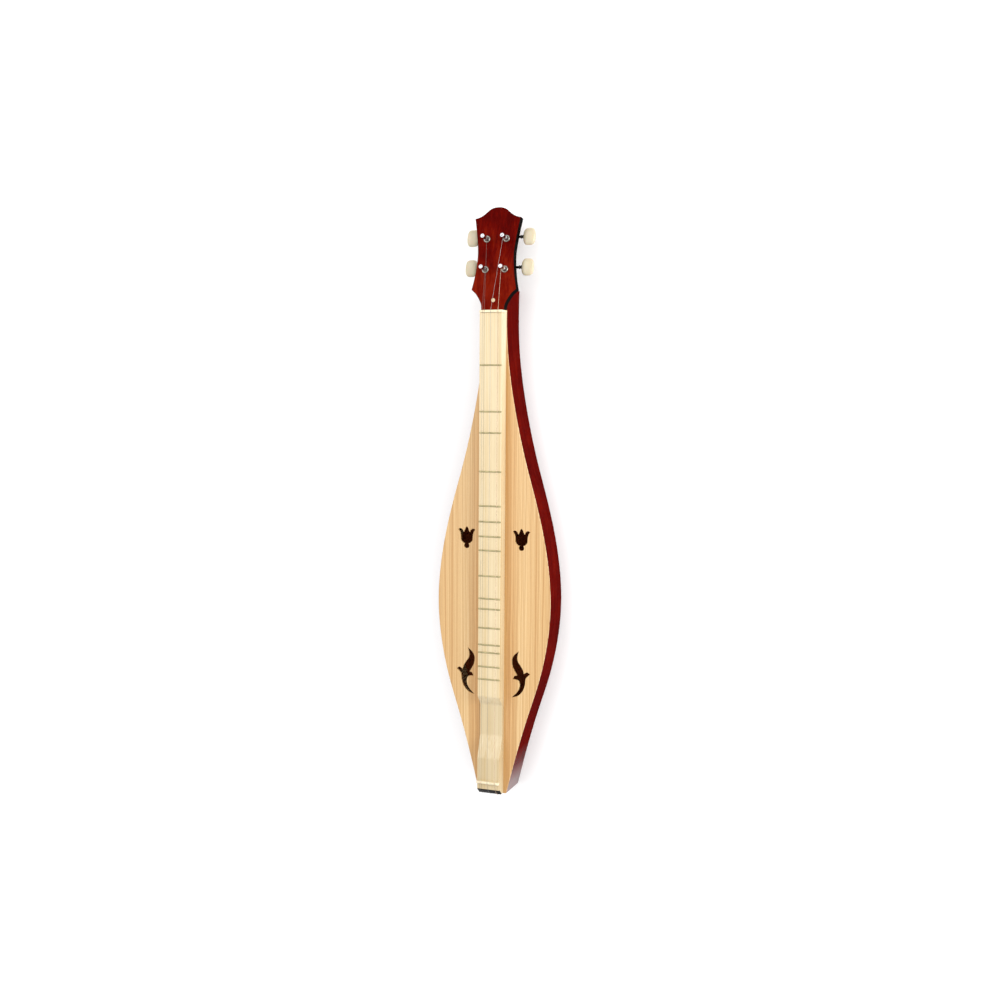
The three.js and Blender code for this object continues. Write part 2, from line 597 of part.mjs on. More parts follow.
// The strip behind each side of the headstock, with two bent ears for each worm shaft.
function tunerPlate() {
  const top = -HEAD_THICK - SEAT;
  const v0 = LOWER_TUNER_V - PLATE.below;
  const v1 = tunerV(1) + PLATE.above;
  const corner = 4;
  const strip = new THREE.Shape();
  strip.moveTo(-PLATE.inner + corner, v0);
  strip.lineTo(PLATE.outer - corner, v0);
  strip.quadraticCurveTo(PLATE.outer, v0, PLATE.outer, v0 + corner);
  strip.lineTo(PLATE.outer, v1 - corner);
  strip.quadraticCurveTo(PLATE.outer, v1, PLATE.outer - corner, v1);
  strip.lineTo(-PLATE.inner + corner, v1);
  strip.quadraticCurveTo(-PLATE.inner, v1, -PLATE.inner, v1 - corner);
  strip.lineTo(-PLATE.inner, v0 + corner);
  strip.quadraticCurveTo(-PLATE.inner, v0, -PLATE.inner + corner, v0);
  const pieces = [slab(strip, top - PLATE.thick, top, 3)];
  const holes = [];
  for (const row of [0, 1]) {
    const shaftV = tunerV(row) + WORM.offset;
    for (const u of [-EAR.inner - EAR.thick, EAR.inner]) {
      const foot = -WORM.depth - EAR.halfWidth;
      pieces.push(box(u, u + EAR.thick, shaftV - EAR.halfWidth, shaftV + EAR.halfWidth, foot, top - 0.5));
    }
    const shaftBore = cylinder(EAR.bore, -9, 9).rotateY(Math.PI / 2);
    holes.push(shaftBore.translate(0, shaftV, -WORM.depth));
    holes.push(cylinder(POST_RADIUS + GAP, top - 3, top + 3).translate(0, tunerV(row), 0));
  }
  return cut(join(...pieces), ...holes);
}

const SIDES = [["left", -1], ["right", 1]];
const ROWS = [["lower", 0], ["upper", 1]];
for (const [sideLabel, side] of SIDES) {
  const plateFrame = new THREE.Group();
  plateFrame.position.x = side * TUNER_U;
  plateFrame.scale.x = side;
  head.add(plateFrame);
  add(plateFrame, `tuner_plate_${sideLabel}`, tunerPlate(), CHROME);
  for (const [rowLabel, row] of ROWS) {
    const tuner = new THREE.Group();
    tuner.position.y = tunerV(row);
    plateFrame.add(tuner);
    const place = `${rowLabel}_${sideLabel}`;
    add(tuner, `post_bushing_${place}`, bushing(), CHROME);
    add(tuner, `string_post_${place}`, stringPost(), CHROME);
    add(tuner, `worm_shaft_${place}`, wormShaft(), CHROME);
    add(tuner, `tuner_button_${place}`, button(), CREAM_PLASTIC);
  }
}
instrument.add(head);

// ---------------------------------------------------------------- strings

// From the loop on the tail pin, up the tail, over the saddle, bridge and nut, and round the waist of the post.
function stringRoute(string) {
  const { x, radius, side, row, pinZ } = string;
  const loop = loopRadius(string);
  const tailY = TAIL_END - GAP - radius;
  const points = [];
  for (let i = 7; i >= 1; i--) {
    const angle = (-i * Math.PI) / 4.5;
    const [across, up] = [loop * Math.cos(angle), loop * Math.sin(angle)];
    points.push(new THREE.Vector3(pinX(string) + across, tailY, pinZ + up));
  }
  const over = GAP + radius;
  const bends = [
    [tailY, pinZ],
    [tailY, SADDLE_FOOT - 1.5],
    [SADDLE.outer - over * 0.7, SADDLE_FOOT + over * 0.4],
    [SADDLE.inner - 1.4, SADDLE_TOP + over],
    [-BRIDGE_THICK / 2 - 0.4, BRIDGE_STRING_Z + 0.1],
    [-0.6, BRIDGE_STRING_Z],
    [SCALE_LENGTH + 0.5, NUT_STRING_Z],
    [SCALE_LENGTH + NUT_THICK - 0.8, NUT_STRING_Z - 0.15],
  ];
  for (const [y, z] of bends) points.push(new THREE.Vector3(x, y, z));

  // The windings rise from where the string meets the waist, on the side of the post nearer the middle.
  const coil = COIL_RADIUS + GAP + radius;
  const rise = 2 * radius + 0.12;
  const stepsPerTurn = 8;
  for (let i = 0; i <= COIL_TURNS * stepsPerTurn; i++) {
    const angle = (2 * Math.PI * i) / stepsPerTurn;
    const u = side * (TUNER_U - coil * Math.cos(angle));
    const v = tunerV(row) + coil * Math.sin(angle);
    points.push(inHead(u, v, COIL_HEIGHT - 0.8 + (rise * i) / stepsPerTurn));
  }
  return points;
}

for (const string of STRINGS) {
  const material = string.name === "bass" ? BRONZE : STEEL;
  add(instrument, `string_${string.name}`, wire(stringRoute(string), string.radius), material);
}

// ------------------------------------------------------------ the whole, over the middle of its footprint

const HEAD_TOP = inHead(0, 152.6, 0).y;
const TAIL_TIP = TAIL_END - PIN.out;
instrument.position.y = -(HEAD_TOP + TAIL_TIP) / 2;

const dulcimer = new THREE.Group();
dulcimer.add(instrument);

export default dulcimer;
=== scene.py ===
"""A mountain dulcimer's detailed pieces and materials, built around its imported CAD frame.

Lengths are millimetres in the design's own axes: X across, Y from the bridge towards the head, Z up from
the underside of the back. BODY carries them into the frame, and HEAD does it for the tilted headstock.
"""
import json
import math

import bmesh
import bpy
import numpy as np
from mathutils import Matrix, Vector
from mathutils.geometry import tessellate_polygon


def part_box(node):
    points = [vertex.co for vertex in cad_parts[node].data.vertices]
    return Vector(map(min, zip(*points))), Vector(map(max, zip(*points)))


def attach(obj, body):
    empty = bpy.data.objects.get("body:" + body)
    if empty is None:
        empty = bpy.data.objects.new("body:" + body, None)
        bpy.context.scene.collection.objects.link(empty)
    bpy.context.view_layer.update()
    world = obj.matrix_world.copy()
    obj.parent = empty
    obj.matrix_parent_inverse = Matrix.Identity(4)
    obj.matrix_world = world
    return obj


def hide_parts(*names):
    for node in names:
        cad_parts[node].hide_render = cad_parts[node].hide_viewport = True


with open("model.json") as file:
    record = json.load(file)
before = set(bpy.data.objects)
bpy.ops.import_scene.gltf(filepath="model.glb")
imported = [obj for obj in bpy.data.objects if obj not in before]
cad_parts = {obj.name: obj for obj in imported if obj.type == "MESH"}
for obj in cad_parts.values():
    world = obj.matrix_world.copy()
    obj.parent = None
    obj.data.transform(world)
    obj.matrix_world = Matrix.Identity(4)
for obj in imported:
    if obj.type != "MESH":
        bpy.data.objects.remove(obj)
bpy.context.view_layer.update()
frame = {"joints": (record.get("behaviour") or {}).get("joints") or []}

# ---- driving dimensions

MM = 0.001
SCALE_LENGTH = 700
BRIDGE_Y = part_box("nut")[0].y / MM - SCALE_LENGTH
BODY = Matrix.Scale(MM, 4) @ Matrix.Translation((0, BRIDGE_Y, 0))


def low(node):
    """A CAD node's lowest corner, in the design's axes."""
    return BODY.inverted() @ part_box(node)[0]


def high(node):
    return BODY.inverted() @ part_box(node)[1]


TAIL_END = low("back_plate").y
NECK_END = high("back_plate").y
BACK_TOP = high("back_plate").z
TOP_UNDER = low("soundboard_left").z
TOP = high("soundboard_left").z
SOUNDBOARD_END = high("soundboard_left").y
SIDE_THICK = 2.6
BLOCK_INSET = 2.62

HALF_BOARD = high("fretboard").x
BOARD_TOP = high("fretboard").z
HOLLOW = {"head_top": 129, "head_foot": 115.5, "tail_foot": 68, "tail_top": 35.2, "floor": 6.5}
SADDLE = {"inner": -12.8, "outer": -20.9, "rise": 0.4, "drop": 8.9, "thick": 3.3}
FRET_SEMITONES = [2, 4, 5, 7, 9, 10, 11, 12, 14, 16, 17, 19, 21, 22, 24, 26]
FRET_LABELS = "01 02 03 04 05 06 06_half 07 08 09 10 11 12 13 14 15".split()

# The teardrop: half widths at stations along its length.
STATIONS = [TAIL_END, 40, 100, 150, 200, 270, 340, 420, 480, 540, 600, 660, NECK_END]
HALF_WIDTHS = [22, 37.8, 55.4, 71.3, 82.8, 89.3, 83.5, 66.1, 49.3, 35.2, 24.5, 18.4, 18]

JOINTS = {joint["name"]: joint for joint in frame["joints"]}
HEAD_NORMAL = Vector(JOINTS["turn_post_lower_right"]["axis"])
HEAD_TILT = math.asin(HEAD_NORMAL.y)
HEAD_THICK = 11.5
TUNER_U = JOINTS["turn_post_lower_right"]["pos_m"][0] / MM
LOWER_TUNER_V = 59.7
TUNER_PITCH = 45.5


def head_matrix():
    """Millimetres in the headstock's own axes (across, up its face, out of its face) to the frame."""
    post = BODY.inverted() @ Vector(JOINTS["turn_post_lower_right"]["pos_m"])
    turn = Matrix.Rotation(-HEAD_TILT, 4, "X")
    origin = post - turn @ Vector((TUNER_U, LOWER_TUNER_V, 0))
    return BODY @ Matrix.Translation(origin) @ turn


HEAD = head_matrix()
HEAD_BASE = (BODY.inverted() @ HEAD @ Vector((0, 0, 0))).y

WORM_OFFSET = 7
WORM_DEPTH = 18.5
COIL_HEIGHT = 9
COIL_RADIUS = 2.4
POST_HEIGHT = 19.5
GEAR_TEETH = 14
DOWEL_V = 14
DOWEL_RADIUS = 3
BUTTON_START = 19.8
BUTTON = Vector((18.5, 25.5, 8.4))

# Each string: radius, place across the nut, side and row of its tuner, and height of its tail pin.
STRINGS = {
    "melody_outer": (0.15, -12.8, -1, 0, 42),
    "melody_inner": (0.15, -9.8, -1, 1, 34),
    "middle": (0.18, 0, 1, 1, 38),
    "bass": (0.3, 11.5, 1, 0, 38),
}
PIN_RADIUS = 1.1
PIN_OUT = 5
SIDES = {"left": -1, "right": 1}
ROWS = {"lower": 0, "upper": 1}
ROOT = "instrument"

# ---- camera, light and floor


CAMERA_PLACE = (0.6403, 0.1654, 1.7695)
CAMERA_LOOK = Vector((-0.34426, -0.08482, -0.93504))
CAMERA_TOP = Vector((-0.0358, 0.9964, -0.0772))
FOCAL_LENGTH = 44.33
LIGHT_TARGET = Vector((0, 0, 0.05))
FLOOR_HALF = 12
FLOOR_DROP = -3e-4


def add_object(name, data):
    made = bpy.data.objects.new(name, data)
    bpy.context.scene.collection.objects.link(made)
    return made


def add_camera():
    data = bpy.data.cameras.new("camera")
    data.sensor_width = 36
    data.lens = FOCAL_LENGTH
    data.clip_start = 0.01
    right = CAMERA_LOOK.cross(CAMERA_TOP).normalized()
    up = right.cross(CAMERA_LOOK)
    turn = Matrix((right, up, -CAMERA_LOOK)).transposed().to_4x4()
    camera = add_object("camera", data)
    camera.matrix_world = Matrix.Translation(CAMERA_PLACE) @ turn
    bpy.context.scene.camera = camera


def add_softbox(name, spot, width, power):
    data = bpy.data.lights.new(name, "AREA")
    data.shape = "SQUARE"
    data.size = width
    data.energy = power
    aim = (LIGHT_TARGET - Vector(spot)).to_track_quat("-Z", "Y")
    add_object(name, data).matrix_world = Matrix.Translation(spot) @ aim.to_matrix().to_4x4()


def add_studio():
    add_softbox("side_light", (2.0, 0.6, 1.15), 1.4, 40)
    add_softbox("top_light", (-1.2, 1.0, 2.2), 2.4, 27)
    world = bpy.data.worlds.new("studio")
    world.use_nodes = True
    background = world.node_tree.nodes["Background"]
    background.inputs["Color"].default_value = (1, 1, 1, 1)
    background.inputs["Strength"].default_value = 1.02
    bpy.context.scene.world = world
    bpy.context.scene.view_settings.view_transform = "Standard"


def add_floor():
    mesh = bpy.data.meshes.new("floor")
    corners = ((-1, -1), (1, -1), (1, 1), (-1, 1))
    vertices = [(FLOOR_HALF * x, FLOOR_HALF * y, FLOOR_DROP) for x, y in corners]
    mesh.from_pydata(vertices, [], [(0, 1, 2, 3)])
    floor = add_object("floor", mesh)
    look = bpy.data.materials.new("floor_paint")
    look.use_nodes = True
    shader = look.node_tree.nodes["Principled BSDF"]
    shader.inputs["Base Color"].default_value = (0.94, 0.94, 0.94, 1)
    shader.inputs["Roughness"].default_value = 0.7
    mesh.materials.append(look)


add_camera()
add_studio()
add_floor()

# ---- material nodes


# The studio is bright enough to wash out the floor, so every paint is that much darker than it looks.
STUDIO_GAIN = 1.28
WHITE = (1, 1, 1, 1)


def rgb(red, green, blue):
    """The paint that the studio shows as these 0 to 255 display values."""
    def linear(value):
        value /= 255
        return (value / 12.92 if value <= 0.04045 else ((value + 0.055) / 1.055) ** 2.4) / STUDIO_GAIN
    return linear(red), linear(green), linear(blue), 1


def tint(red, green, blue):
    """A display colour for multiplying another by, so without the studio's gain."""
    return tuple(STUDIO_GAIN * value for value in rgb(red, green, blue)[:3]) + (1,)


def node(tree, kind, inputs=None, **settings):
    made = tree.nodes.new("ShaderNode" + kind)
    for key, value in settings.items():
        setattr(made, key, value)
    for key, value in (inputs or {}).items():
        if isinstance(value, bpy.types.NodeSocket):
            tree.links.new(value, made.inputs[key])
        else:
            made.inputs[key].default_value = value
    return made


def surface(name, roughness, metallic=0.0, **sockets):
    """A material, its tree and its Principled shader, with the shader's plain values set."""
    material = bpy.data.materials.new(name)
    material.use_nodes = True
    tree = material.node_tree
    shader = tree.nodes["Principled BSDF"]
    shader.inputs["Roughness"].default_value = roughness
    shader.inputs["Metallic"].default_value = metallic
    for key, value in sockets.items():
        shader.inputs[key.replace("_", " ").title().replace("Ior", "IOR")].default_value = value
    return material, tree, shader


def millimetres(tree, mirrored=False):
    """Object coordinates in millimetres. Mirrored boards share their pattern about X = 0."""
    place = node(tree, "TexCoord").outputs["Object"]
    scaled = node(tree, "VectorMath", {0: place, "Scale": 1000}, operation="SCALE").outputs[0]
    if not mirrored:
        return scaled
    x, y, z = node(tree, "SeparateXYZ", {0: scaled}).outputs
    return node(tree, "CombineXYZ", {0: math_node(tree, "ABSOLUTE", x), 1: y, 2: z}).outputs[0]


def noise(tree, place, spacing, detail, roughness=0.5):
    """Noise whose features are about so many millimetres apart along each axis."""
    scale = tuple(1 / s for s in spacing)
    spot = node(tree, "Mapping", {"Vector": place, "Scale": scale}).outputs[0]
    inputs = {"Vector": spot, "Scale": 1.0, "Detail": detail, "Roughness": roughness}
    return node(tree, "TexNoise", inputs).outputs[0]


def ramp(tree, factor, stops):
    made = node(tree, "ValToRGB", {0: factor})
    elements = made.color_ramp.elements
    while len(elements) < len(stops):
        elements.new(0.5)
    for element, (position, color) in zip(elements, stops):
        element.position = position
        element.color = color
    return made.outputs[0]


def grey(value):
    return value, value, value, 1


def shaded(tree, color, share, factor, stops):
    """A colour multiplied by a share of a ramp over a factor."""
    inputs = {0: share, 6: color, 7: ramp(tree, factor, stops)}
    return node(tree, "Mix", inputs, data_type="RGBA", blend_type="MULTIPLY").outputs[2]


def math_node(tree, operation, first, second=0.0):
    return node(tree, "Math", {0: first, 1: second}, operation=operation).outputs[0]


def sum_of(tree, *terms):
    """The sum of (value, weight) pairs."""
    total = 0.0
    for value, weight in terms:
        total = math_node(tree, "ADD", math_node(tree, "MULTIPLY", value, weight), total)
    return total


def past(tree, value, start, length):
    """How far a value is past start, as a share of length."""
    return math_node(tree, "DIVIDE", math_node(tree, "SUBTRACT", value, start), length)


def paint(tree, shader, value, socket="Base Color"):
    tree.links.new(value, shader.inputs[socket])


def clouded(tree, shader, cloud, deep, color, roughness, wear):
    """A colour that is deeper, and rougher by wear, where a noise is low."""
    paint(tree, shader, ramp(tree, cloud, [(0.3, rgb(*deep)), (0.7, rgb(*color))]))
    rough = ramp(tree, cloud, [(0.3, grey(roughness + wear)), (0.7, grey(roughness))])
    paint(tree, shader, rough, "Roughness")


def bump(tree, shader, height, strength):
    made = node(tree, "Bump", {"Height": height, "Strength": strength, "Distance": 1e-4})
    paint(tree, shader, made.outputs[0], "Normal")


# ---- materials


def soundboard_wood():
    """Straight-grained cedar under satin lacquer, its two halves mirrored, warmer towards the middle."""
    material, tree, shader = surface("soundboard_wood", 0.42, coat_weight=0.25, coat_roughness=0.25)
    place = millimetres(tree, mirrored=True)
    wander = noise(tree, place, (60, 160, 60), 1)
    shift = math_node(tree, "MULTIPLY", math_node(tree, "SUBTRACT", wander, 0.5), 6.0)
    x, y, z = node(tree, "SeparateXYZ", {0: place}).outputs
    bent = node(tree, "CombineXYZ", {0: math_node(tree, "ADD", x, shift), 1: y, 2: z}).outputs[0]
    fine = noise(tree, bent, (0.8, 700, 9), 2, 0.7)
    groups = noise(tree, bent, (5, 900, 30), 2, 0.6)
    inputs = {"Vector": bent, "Scale": 0.155, "Distortion": 2.2, "Detail": 2.0, "Detail Scale": 0.06}
    rings = node(tree, "TexWave", inputs, bands_direction="X", wave_profile="SAW").outputs[1]
    broad = noise(tree, bent, (15, 900, 80), 1, 0.5)
    flecks = noise(tree, bent, (0.35, 9, 0.35), 2, 0.6)
    color = ramp(tree, rings, [(0.25, rgb(250, 219, 166)), (0.6, rgb(244, 210, 155)),
                               (0.84, rgb(222, 180, 119)), (0.96, rgb(202, 154, 94))])
    color = shaded(tree, color, 0.95, fine, [(0.36, tint(224, 208, 184)), (0.6, WHITE)])
    color = shaded(tree, color, 0.75, groups, [(0.34, tint(230, 214, 190)), (0.58, WHITE)])
    color = shaded(tree, color, 0.7, broad, [(0.3, tint(246, 236, 220)), (0.7, WHITE)])
    color = shaded(tree, color, 0.9, math_node(tree, "DIVIDE", x, 60.0),
                   [(0.28, tint(246, 230, 208)), (0.46, tint(250, 239, 224)), (0.66, WHITE)])
    color = shaded(tree, color, 0.08, flecks, [(0.35, tint(150, 110, 70)), (0.6, WHITE)])
    paint(tree, shader, color)
    paint(tree, shader, ramp(tree, fine, [(0.3, grey(0.5)), (0.7, grey(0.36))]), "Roughness")
    bump(tree, shader, sum_of(tree, (rings, -0.3), (fine, 1)), 0.12)
    return material


def fretboard_wood():
    """Pale board with close, faint lines along its length, a little greyer where it is strummed."""
    material, tree, shader = surface("fretboard_wood", 0.4, coat_weight=0.25, coat_roughness=0.22)
    place = millimetres(tree)
    fine = noise(tree, place, (0.7, 500, 2.6), 2, 0.6)
    rings = noise(tree, place, (2.4, 900, 4.5), 1, 0.5)
    cloud = noise(tree, place, (16, 120, 60), 2, 0.5)
    grain = sum_of(tree, (rings, 0.45), (fine, 0.55))
    color = ramp(tree, grain, [(0.34, rgb(222, 196, 146)), (0.46, rgb(233, 212, 170)),
                               (0.66, rgb(242, 225, 188))])
    color = shaded(tree, color, 0.5, cloud, [(0.35, tint(244, 237, 224)), (0.65, WHITE)])
    along = node(tree, "SeparateXYZ", {0: place}).outputs[1]
    strummed = past(tree, along, BRIDGE_Y + HOLLOW["head_foot"] - 40, 80.0)
    color = shaded(tree, color, 1.0, strummed, [(0.45, tint(238, 236, 232)), (0.6, WHITE)])
    paint(tree, shader, color)
    bump(tree, shader, grain, 0.1)
    return material


def red_lacquer(name, dark, middle, light, gloss, fade=0.0):
    """Red stained mahogany under lacquer. It darkens along Y by fade, painted shade that makes it darker
    towards higher Y, and shines most by the tail.
    """
    material, tree, shader = surface(name, 0.4, coat_roughness=0.05, coat_ior=1.7, specular_ior_level=0.0)
    place = millimetres(tree)
    pores = noise(tree, place, (0.4, 11, 0.4), 2, 0.6)
    threads = noise(tree, place, (1.1, 90, 1.1), 2, 0.6)
    streaks = noise(tree, place, (6, 150, 6), 2, 0.55)
    cloud = noise(tree, place, (34, 40, 60), 1, 0.5)
    mixed = sum_of(tree, (threads, 0.3), (streaks, 0.4), (cloud, 0.3))
    along = node(tree, "SeparateXYZ", {0: place}).outputs[1]
    # painted shade: with fade, the colour darkens along Y, darker towards the headstock's top end and
    # lighter towards its foot
    painted_shade_ramp = math_node(tree, "MULTIPLY", math_node(tree, "SUBTRACT", along, 375.0), -fade / 75)
    mixed = math_node(tree, "ADD", mixed, painted_shade_ramp)
    color = ramp(tree, mixed, [(0.35, rgb(*dark)), (0.5, rgb(*middle)), (0.65, rgb(*light))])
    color = shaded(tree, color, 0.6, pores, [(0.32, tint(120, 90, 80)), (0.42, WHITE)])
    paint(tree, shader, color)
    tail = past(tree, along, BRIDGE_Y - 8, 56.0)
    shine = ramp(tree, tail, [(0, WHITE), (0.5, grey(0.25)), (1, grey(gloss))])
    paint(tree, shader, shine, "Coat Weight")
    bump(tree, shader, pores, 0.04)
    return material


def plain_wood(name, dark, light, roughness=0.65, spacing=(1.0, 60, 1.0), gloss=0.0):
    material, tree, shader = surface(name, roughness, coat_weight=gloss, coat_roughness=0.2,
                                     specular_ior_level=0.05)
    place = millimetres(tree)
    fine = noise(tree, place, spacing, 3, 0.6)
    broad = noise(tree, place, tuple(9 * s for s in spacing), 2, 0.5)
    mixed = sum_of(tree, (broad, 0.4), (fine, 0.6))
    paint(tree, shader, ramp(tree, mixed, [(0.36, rgb(*dark)), (0.62, rgb(*light))]))
    bump(tree, shader, fine, 0.25)
    return material


def metal(name, color, roughness, wear=0.08):
    """Metal with faint smudges, which are duller and rougher by wear."""
    material, tree, shader = surface(name, roughness, 1.0)
    smudge = noise(tree, millimetres(tree), (4.8, 4.8, 4.8), 3, 0.6)
    clouded(tree, shader, smudge, [c * 0.86 for c in color], color, roughness, wear)
    return material


def smooth_solid(name, color, deep, roughness, spacing=6.0, subsurface=0.0, marks=0.02, gloss=0.15):
    """Plastic, bone or lacquer: an even colour with faint clouding."""
    material, tree, shader = surface(name, roughness, coat_weight=gloss, coat_roughness=0.12,
                                     subsurface_weight=subsurface, subsurface_scale=0.002,
                                     specular_ior_level=3 * gloss if gloss > 0.05 else 0.0)
    place = millimetres(tree)
    cloud = noise(tree, place, (spacing, spacing * 2, spacing), 3, 0.55)
    fine = noise(tree, place, (0.5, 3, 0.5), 2, 0.6)
    clouded(tree, shader, cloud, deep, color, roughness, 0.06)
    bump(tree, shader, fine, marks)
    return material


def wound_wire():
    """Bronze winding: fine turns along the string, with painted shade in the grooves between them."""
    material, tree, shader = surface("wound_bronze", 0.3, 1.0)
    inputs = {"Vector": millimetres(tree), "Scale": 0.62, "Distortion": 0.0}
    turns = node(tree, "TexWave", inputs, bands_direction="Y").outputs[1]
    # painted shade: the dark stop of this ramp darkens the grooves between the turns
    paint(tree, shader, ramp(tree, turns, [(0.1, rgb(150, 116, 88)), (0.6, rgb(244, 214, 184))]))
    bump(tree, shader, turns, 0.8)
    return material


LOOKS = {
    "soundboard": soundboard_wood(),
    "fretboard": fretboard_wood(),
    "red": red_lacquer("red_lacquer", (76, 1, 0), (95, 4, 1), (114, 14, 3), 0.02),
    # painted shade: this fade darkens the headstock's colour towards its top end
    "red_head": red_lacquer("red_headstock", (78, 1, 0), (102, 5, 0), (128, 27, 6), 0.015, 0.13),
    "bare_mahogany": plain_wood("bare_mahogany", (140, 58, 28), (200, 104, 56), 0.7, (0.6, 22, 0.6)),
    "spruce": plain_wood("bare_spruce", (196, 158, 104), (228, 196, 146), 0.7, (1.3, 90, 1.3)),
    "maple_end": plain_wood("maple_dowel", (196, 170, 128), (232, 212, 176), 0.35, (0.5, 0.5, 6), 0.3),
    "ebony": plain_wood("ebony", (9, 8, 7), (24, 21, 19), 0.45, (0.35, 9, 0.35), 0.01),
    "black_edge": smooth_solid("black_lacquer", (14, 11, 10), (6, 5, 5), 0.4, 4.0, gloss=0.04),
    "bone": smooth_solid("bone", (252, 240, 208), (240, 222, 182), 0.32, 4.0, 0.15),
    "button": smooth_solid("cream_plastic", (223, 210, 181), (213, 198, 166), 0.28, 9.0, 0.25, 0.01),
    "chrome": metal("bright_nickel", (226, 226, 230), 0.1),
    "nickel": metal("dull_nickel", (164, 156, 146), 0.2),
    "dark_steel": metal("blackened_steel", (58, 54, 50), 0.32, 0.1),
    "steel": metal("plain_steel", (168, 166, 164), 0.3),
    "thin_steel": metal("string_steel", (124, 117, 110), 0.3),
    "brass": metal("brass", (206, 168, 92), 0.26, 0.12),
    "fret": metal("fret_wire", (196, 184, 140), 0.34, 0.1),
    "bronze": wound_wire(),
}

# ---- curves and outlines


def natural_spline(xs, ys):
    """A function through points, smooth in slope and curvature, straight-ended."""
    xs, ys = np.array(xs, float), np.array(ys, float)
    gaps = np.diff(xs)
    count = len(xs)
    rows = np.eye(count)
    sides = np.zeros(count)
    for i in range(1, count - 1):
        rows[i, i - 1:i + 2] = gaps[i - 1], 2 * (gaps[i - 1] + gaps[i]), gaps[i]
        sides[i] = 6 * ((ys[i + 1] - ys[i]) / gaps[i] - (ys[i] - ys[i - 1]) / gaps[i - 1])
    bends = np.linalg.solve(rows, sides)

    def value(x):
        i = int(min(max(np.searchsorted(xs, x) - 1, 0), count - 2))
        a, b, h = xs[i + 1] - x, x - xs[i], gaps[i]
        return float((bends[i] * a**3 + bends[i + 1] * b**3) / (6 * h)
                     + (ys[i] / h - bends[i] * h / 6) * a + (ys[i + 1] / h - bends[i + 1] * h / 6) * b)
    return value


half_width = natural_spline(STATIONS, HALF_WIDTHS)


def inset_half_width(y, inset):
    """Half width less an inset measured square to the edge."""
    below, above = max(y - 1, TAIL_END), min(y + 1, NECK_END)
    slope = (half_width(above) - half_width(below)) / (above - below)
    return half_width(y) - inset * math.hypot(1, slope)


def steps(start, end, count):
    return [start + (end - start) * i / count for i in range(count + 1)]


def edge_points(start, end):
    return [(half_width(y), y) for y in steps(start, end, 180)]


def catmull_rom(a, b, c, d, t):
    """The curve between b and c, at a share t of the way."""
    square, cube = 2 * a - 5 * b + 4 * c - d, 3 * b - a - 3 * c + d
    return 0.5 * (2 * b + (c - a) * t + square * t * t + cube * t**3)


def smooth_stretch(points, pieces):
    """Points of a smooth curve through a stretch, without its last."""
    found = []
    for i in range(len(points) - 1):
        p0, p1 = points[max(i - 1, 0)], points[i]
        p2, p3 = points[i + 1], points[min(i + 2, len(points) - 1)]
        for k in range(pieces):
            found.append(tuple(catmull_rom(*four, k / pieces) for four in zip(p0, p1, p2, p3)))
    return found


def curved_outline(stretches, pieces=10):
    """Points of smooth stretches with a corner between them. Each goes on from the last one's end."""
    found, start = [], []
    for stretch in stretches:
        found += smooth_stretch(start + stretch, pieces)
        start = stretch[-1:]
    return found


def mirrored(points):
    return [(-x, y) for x, y in reversed(points)]


TULIP_CENTRE = 43.6
TULIP_SIDE = [
    [(0, 349.6), (3, 350.6), (4.3, 353.8), (3.1, 356.9)],
    [(6, 358.2), (9.2, 362), (9.9, 369), (11.2, 374.6), (13.8, 378)],
    [(10.6, 379.6), (7.4, 378.4)],
    [(6, 376.6), (4.9, 374.2)],
    [(3.5, 376.8), (2.4, 380), (0, 383)],
]
BIRD = [
    [(40.9, 198.3), (34.6, 193), (30.6, 187.2), (29.8, 181), (31.4, 173), (38, 161.2)],
    [(34.2, 160.2), (31.6, 155.2)],
    [(36, 155), (40.4, 153.4), (42.5, 147.6), (41.2, 140.6), (37, 134), (30, 127.3)],
    [(39.4, 130.2), (46.8, 137.4), (50.8, 147), (52, 156.8), (55, 161), (58.9, 164.6)],
    [(54.4, 167.4), (49.4, 164.6)],
    [(47.4, 170.8), (43.4, 177.2), (39.6, 182.8), (38.6, 189.4), (40.9, 198.3)],
]
HEADSTOCK_SIDE = [
    [(18, -4), (18, 1)],
    [(18.9, 8), (22.4, 15.4), (28, 23.6), (35.2, 30)],
    [(31.6, 47), (29.3, 65), (28.3, 82), (29.6, 98), (32.2, 117), (35.7, 136.6)],
    [(31, 137.4), (25, 140), (18.5, 144.6), (12.4, 149.6), (6, 152), (0, 152.6)],
]


def tulip(side):
    half = curved_outline(TULIP_SIDE) + TULIP_SIDE[-1][-1:]
    return [(side * (TULIP_CENTRE + x), y) for x, y in half + mirrored(half)[1:-1]]


def bird(side):
    return [(side * x, y) for x, y in curved_outline(BIRD)]


def circle(centre, radius, count=32):
    return [(centre[0] + radius * math.cos(2 * math.pi * i / count),
             centre[1] + radius * math.sin(2 * math.pi * i / count)) for i in range(count)]


def anticlockwise(points):
    area = sum(a[0] * b[1] - b[0] * a[1] for a, b in zip(points, points[1:] + points[:1]))
    return points if area > 0 else points[::-1]


def offset(points, distance):
    """An anticlockwise outline moved inwards."""
    found = []
    count = len(points)
    for i in range(count):
        before, here, after = (Vector(points[(i + k) % count]) for k in (-1, 0, 1))
        first = (here - before).normalized()
        second = (after - here).normalized()
        inward = Vector((-first.y, first.x)) + Vector((-second.y, second.x))
        inward = inward.normalized() if inward.length > 1e-6 else Vector((-first.y, first.x))
        reach = distance / max(inward.dot(Vector((-first.y, first.x))), 0.4)
        found.append((here.x + inward.x * reach, here.y + inward.y * reach))
    return found


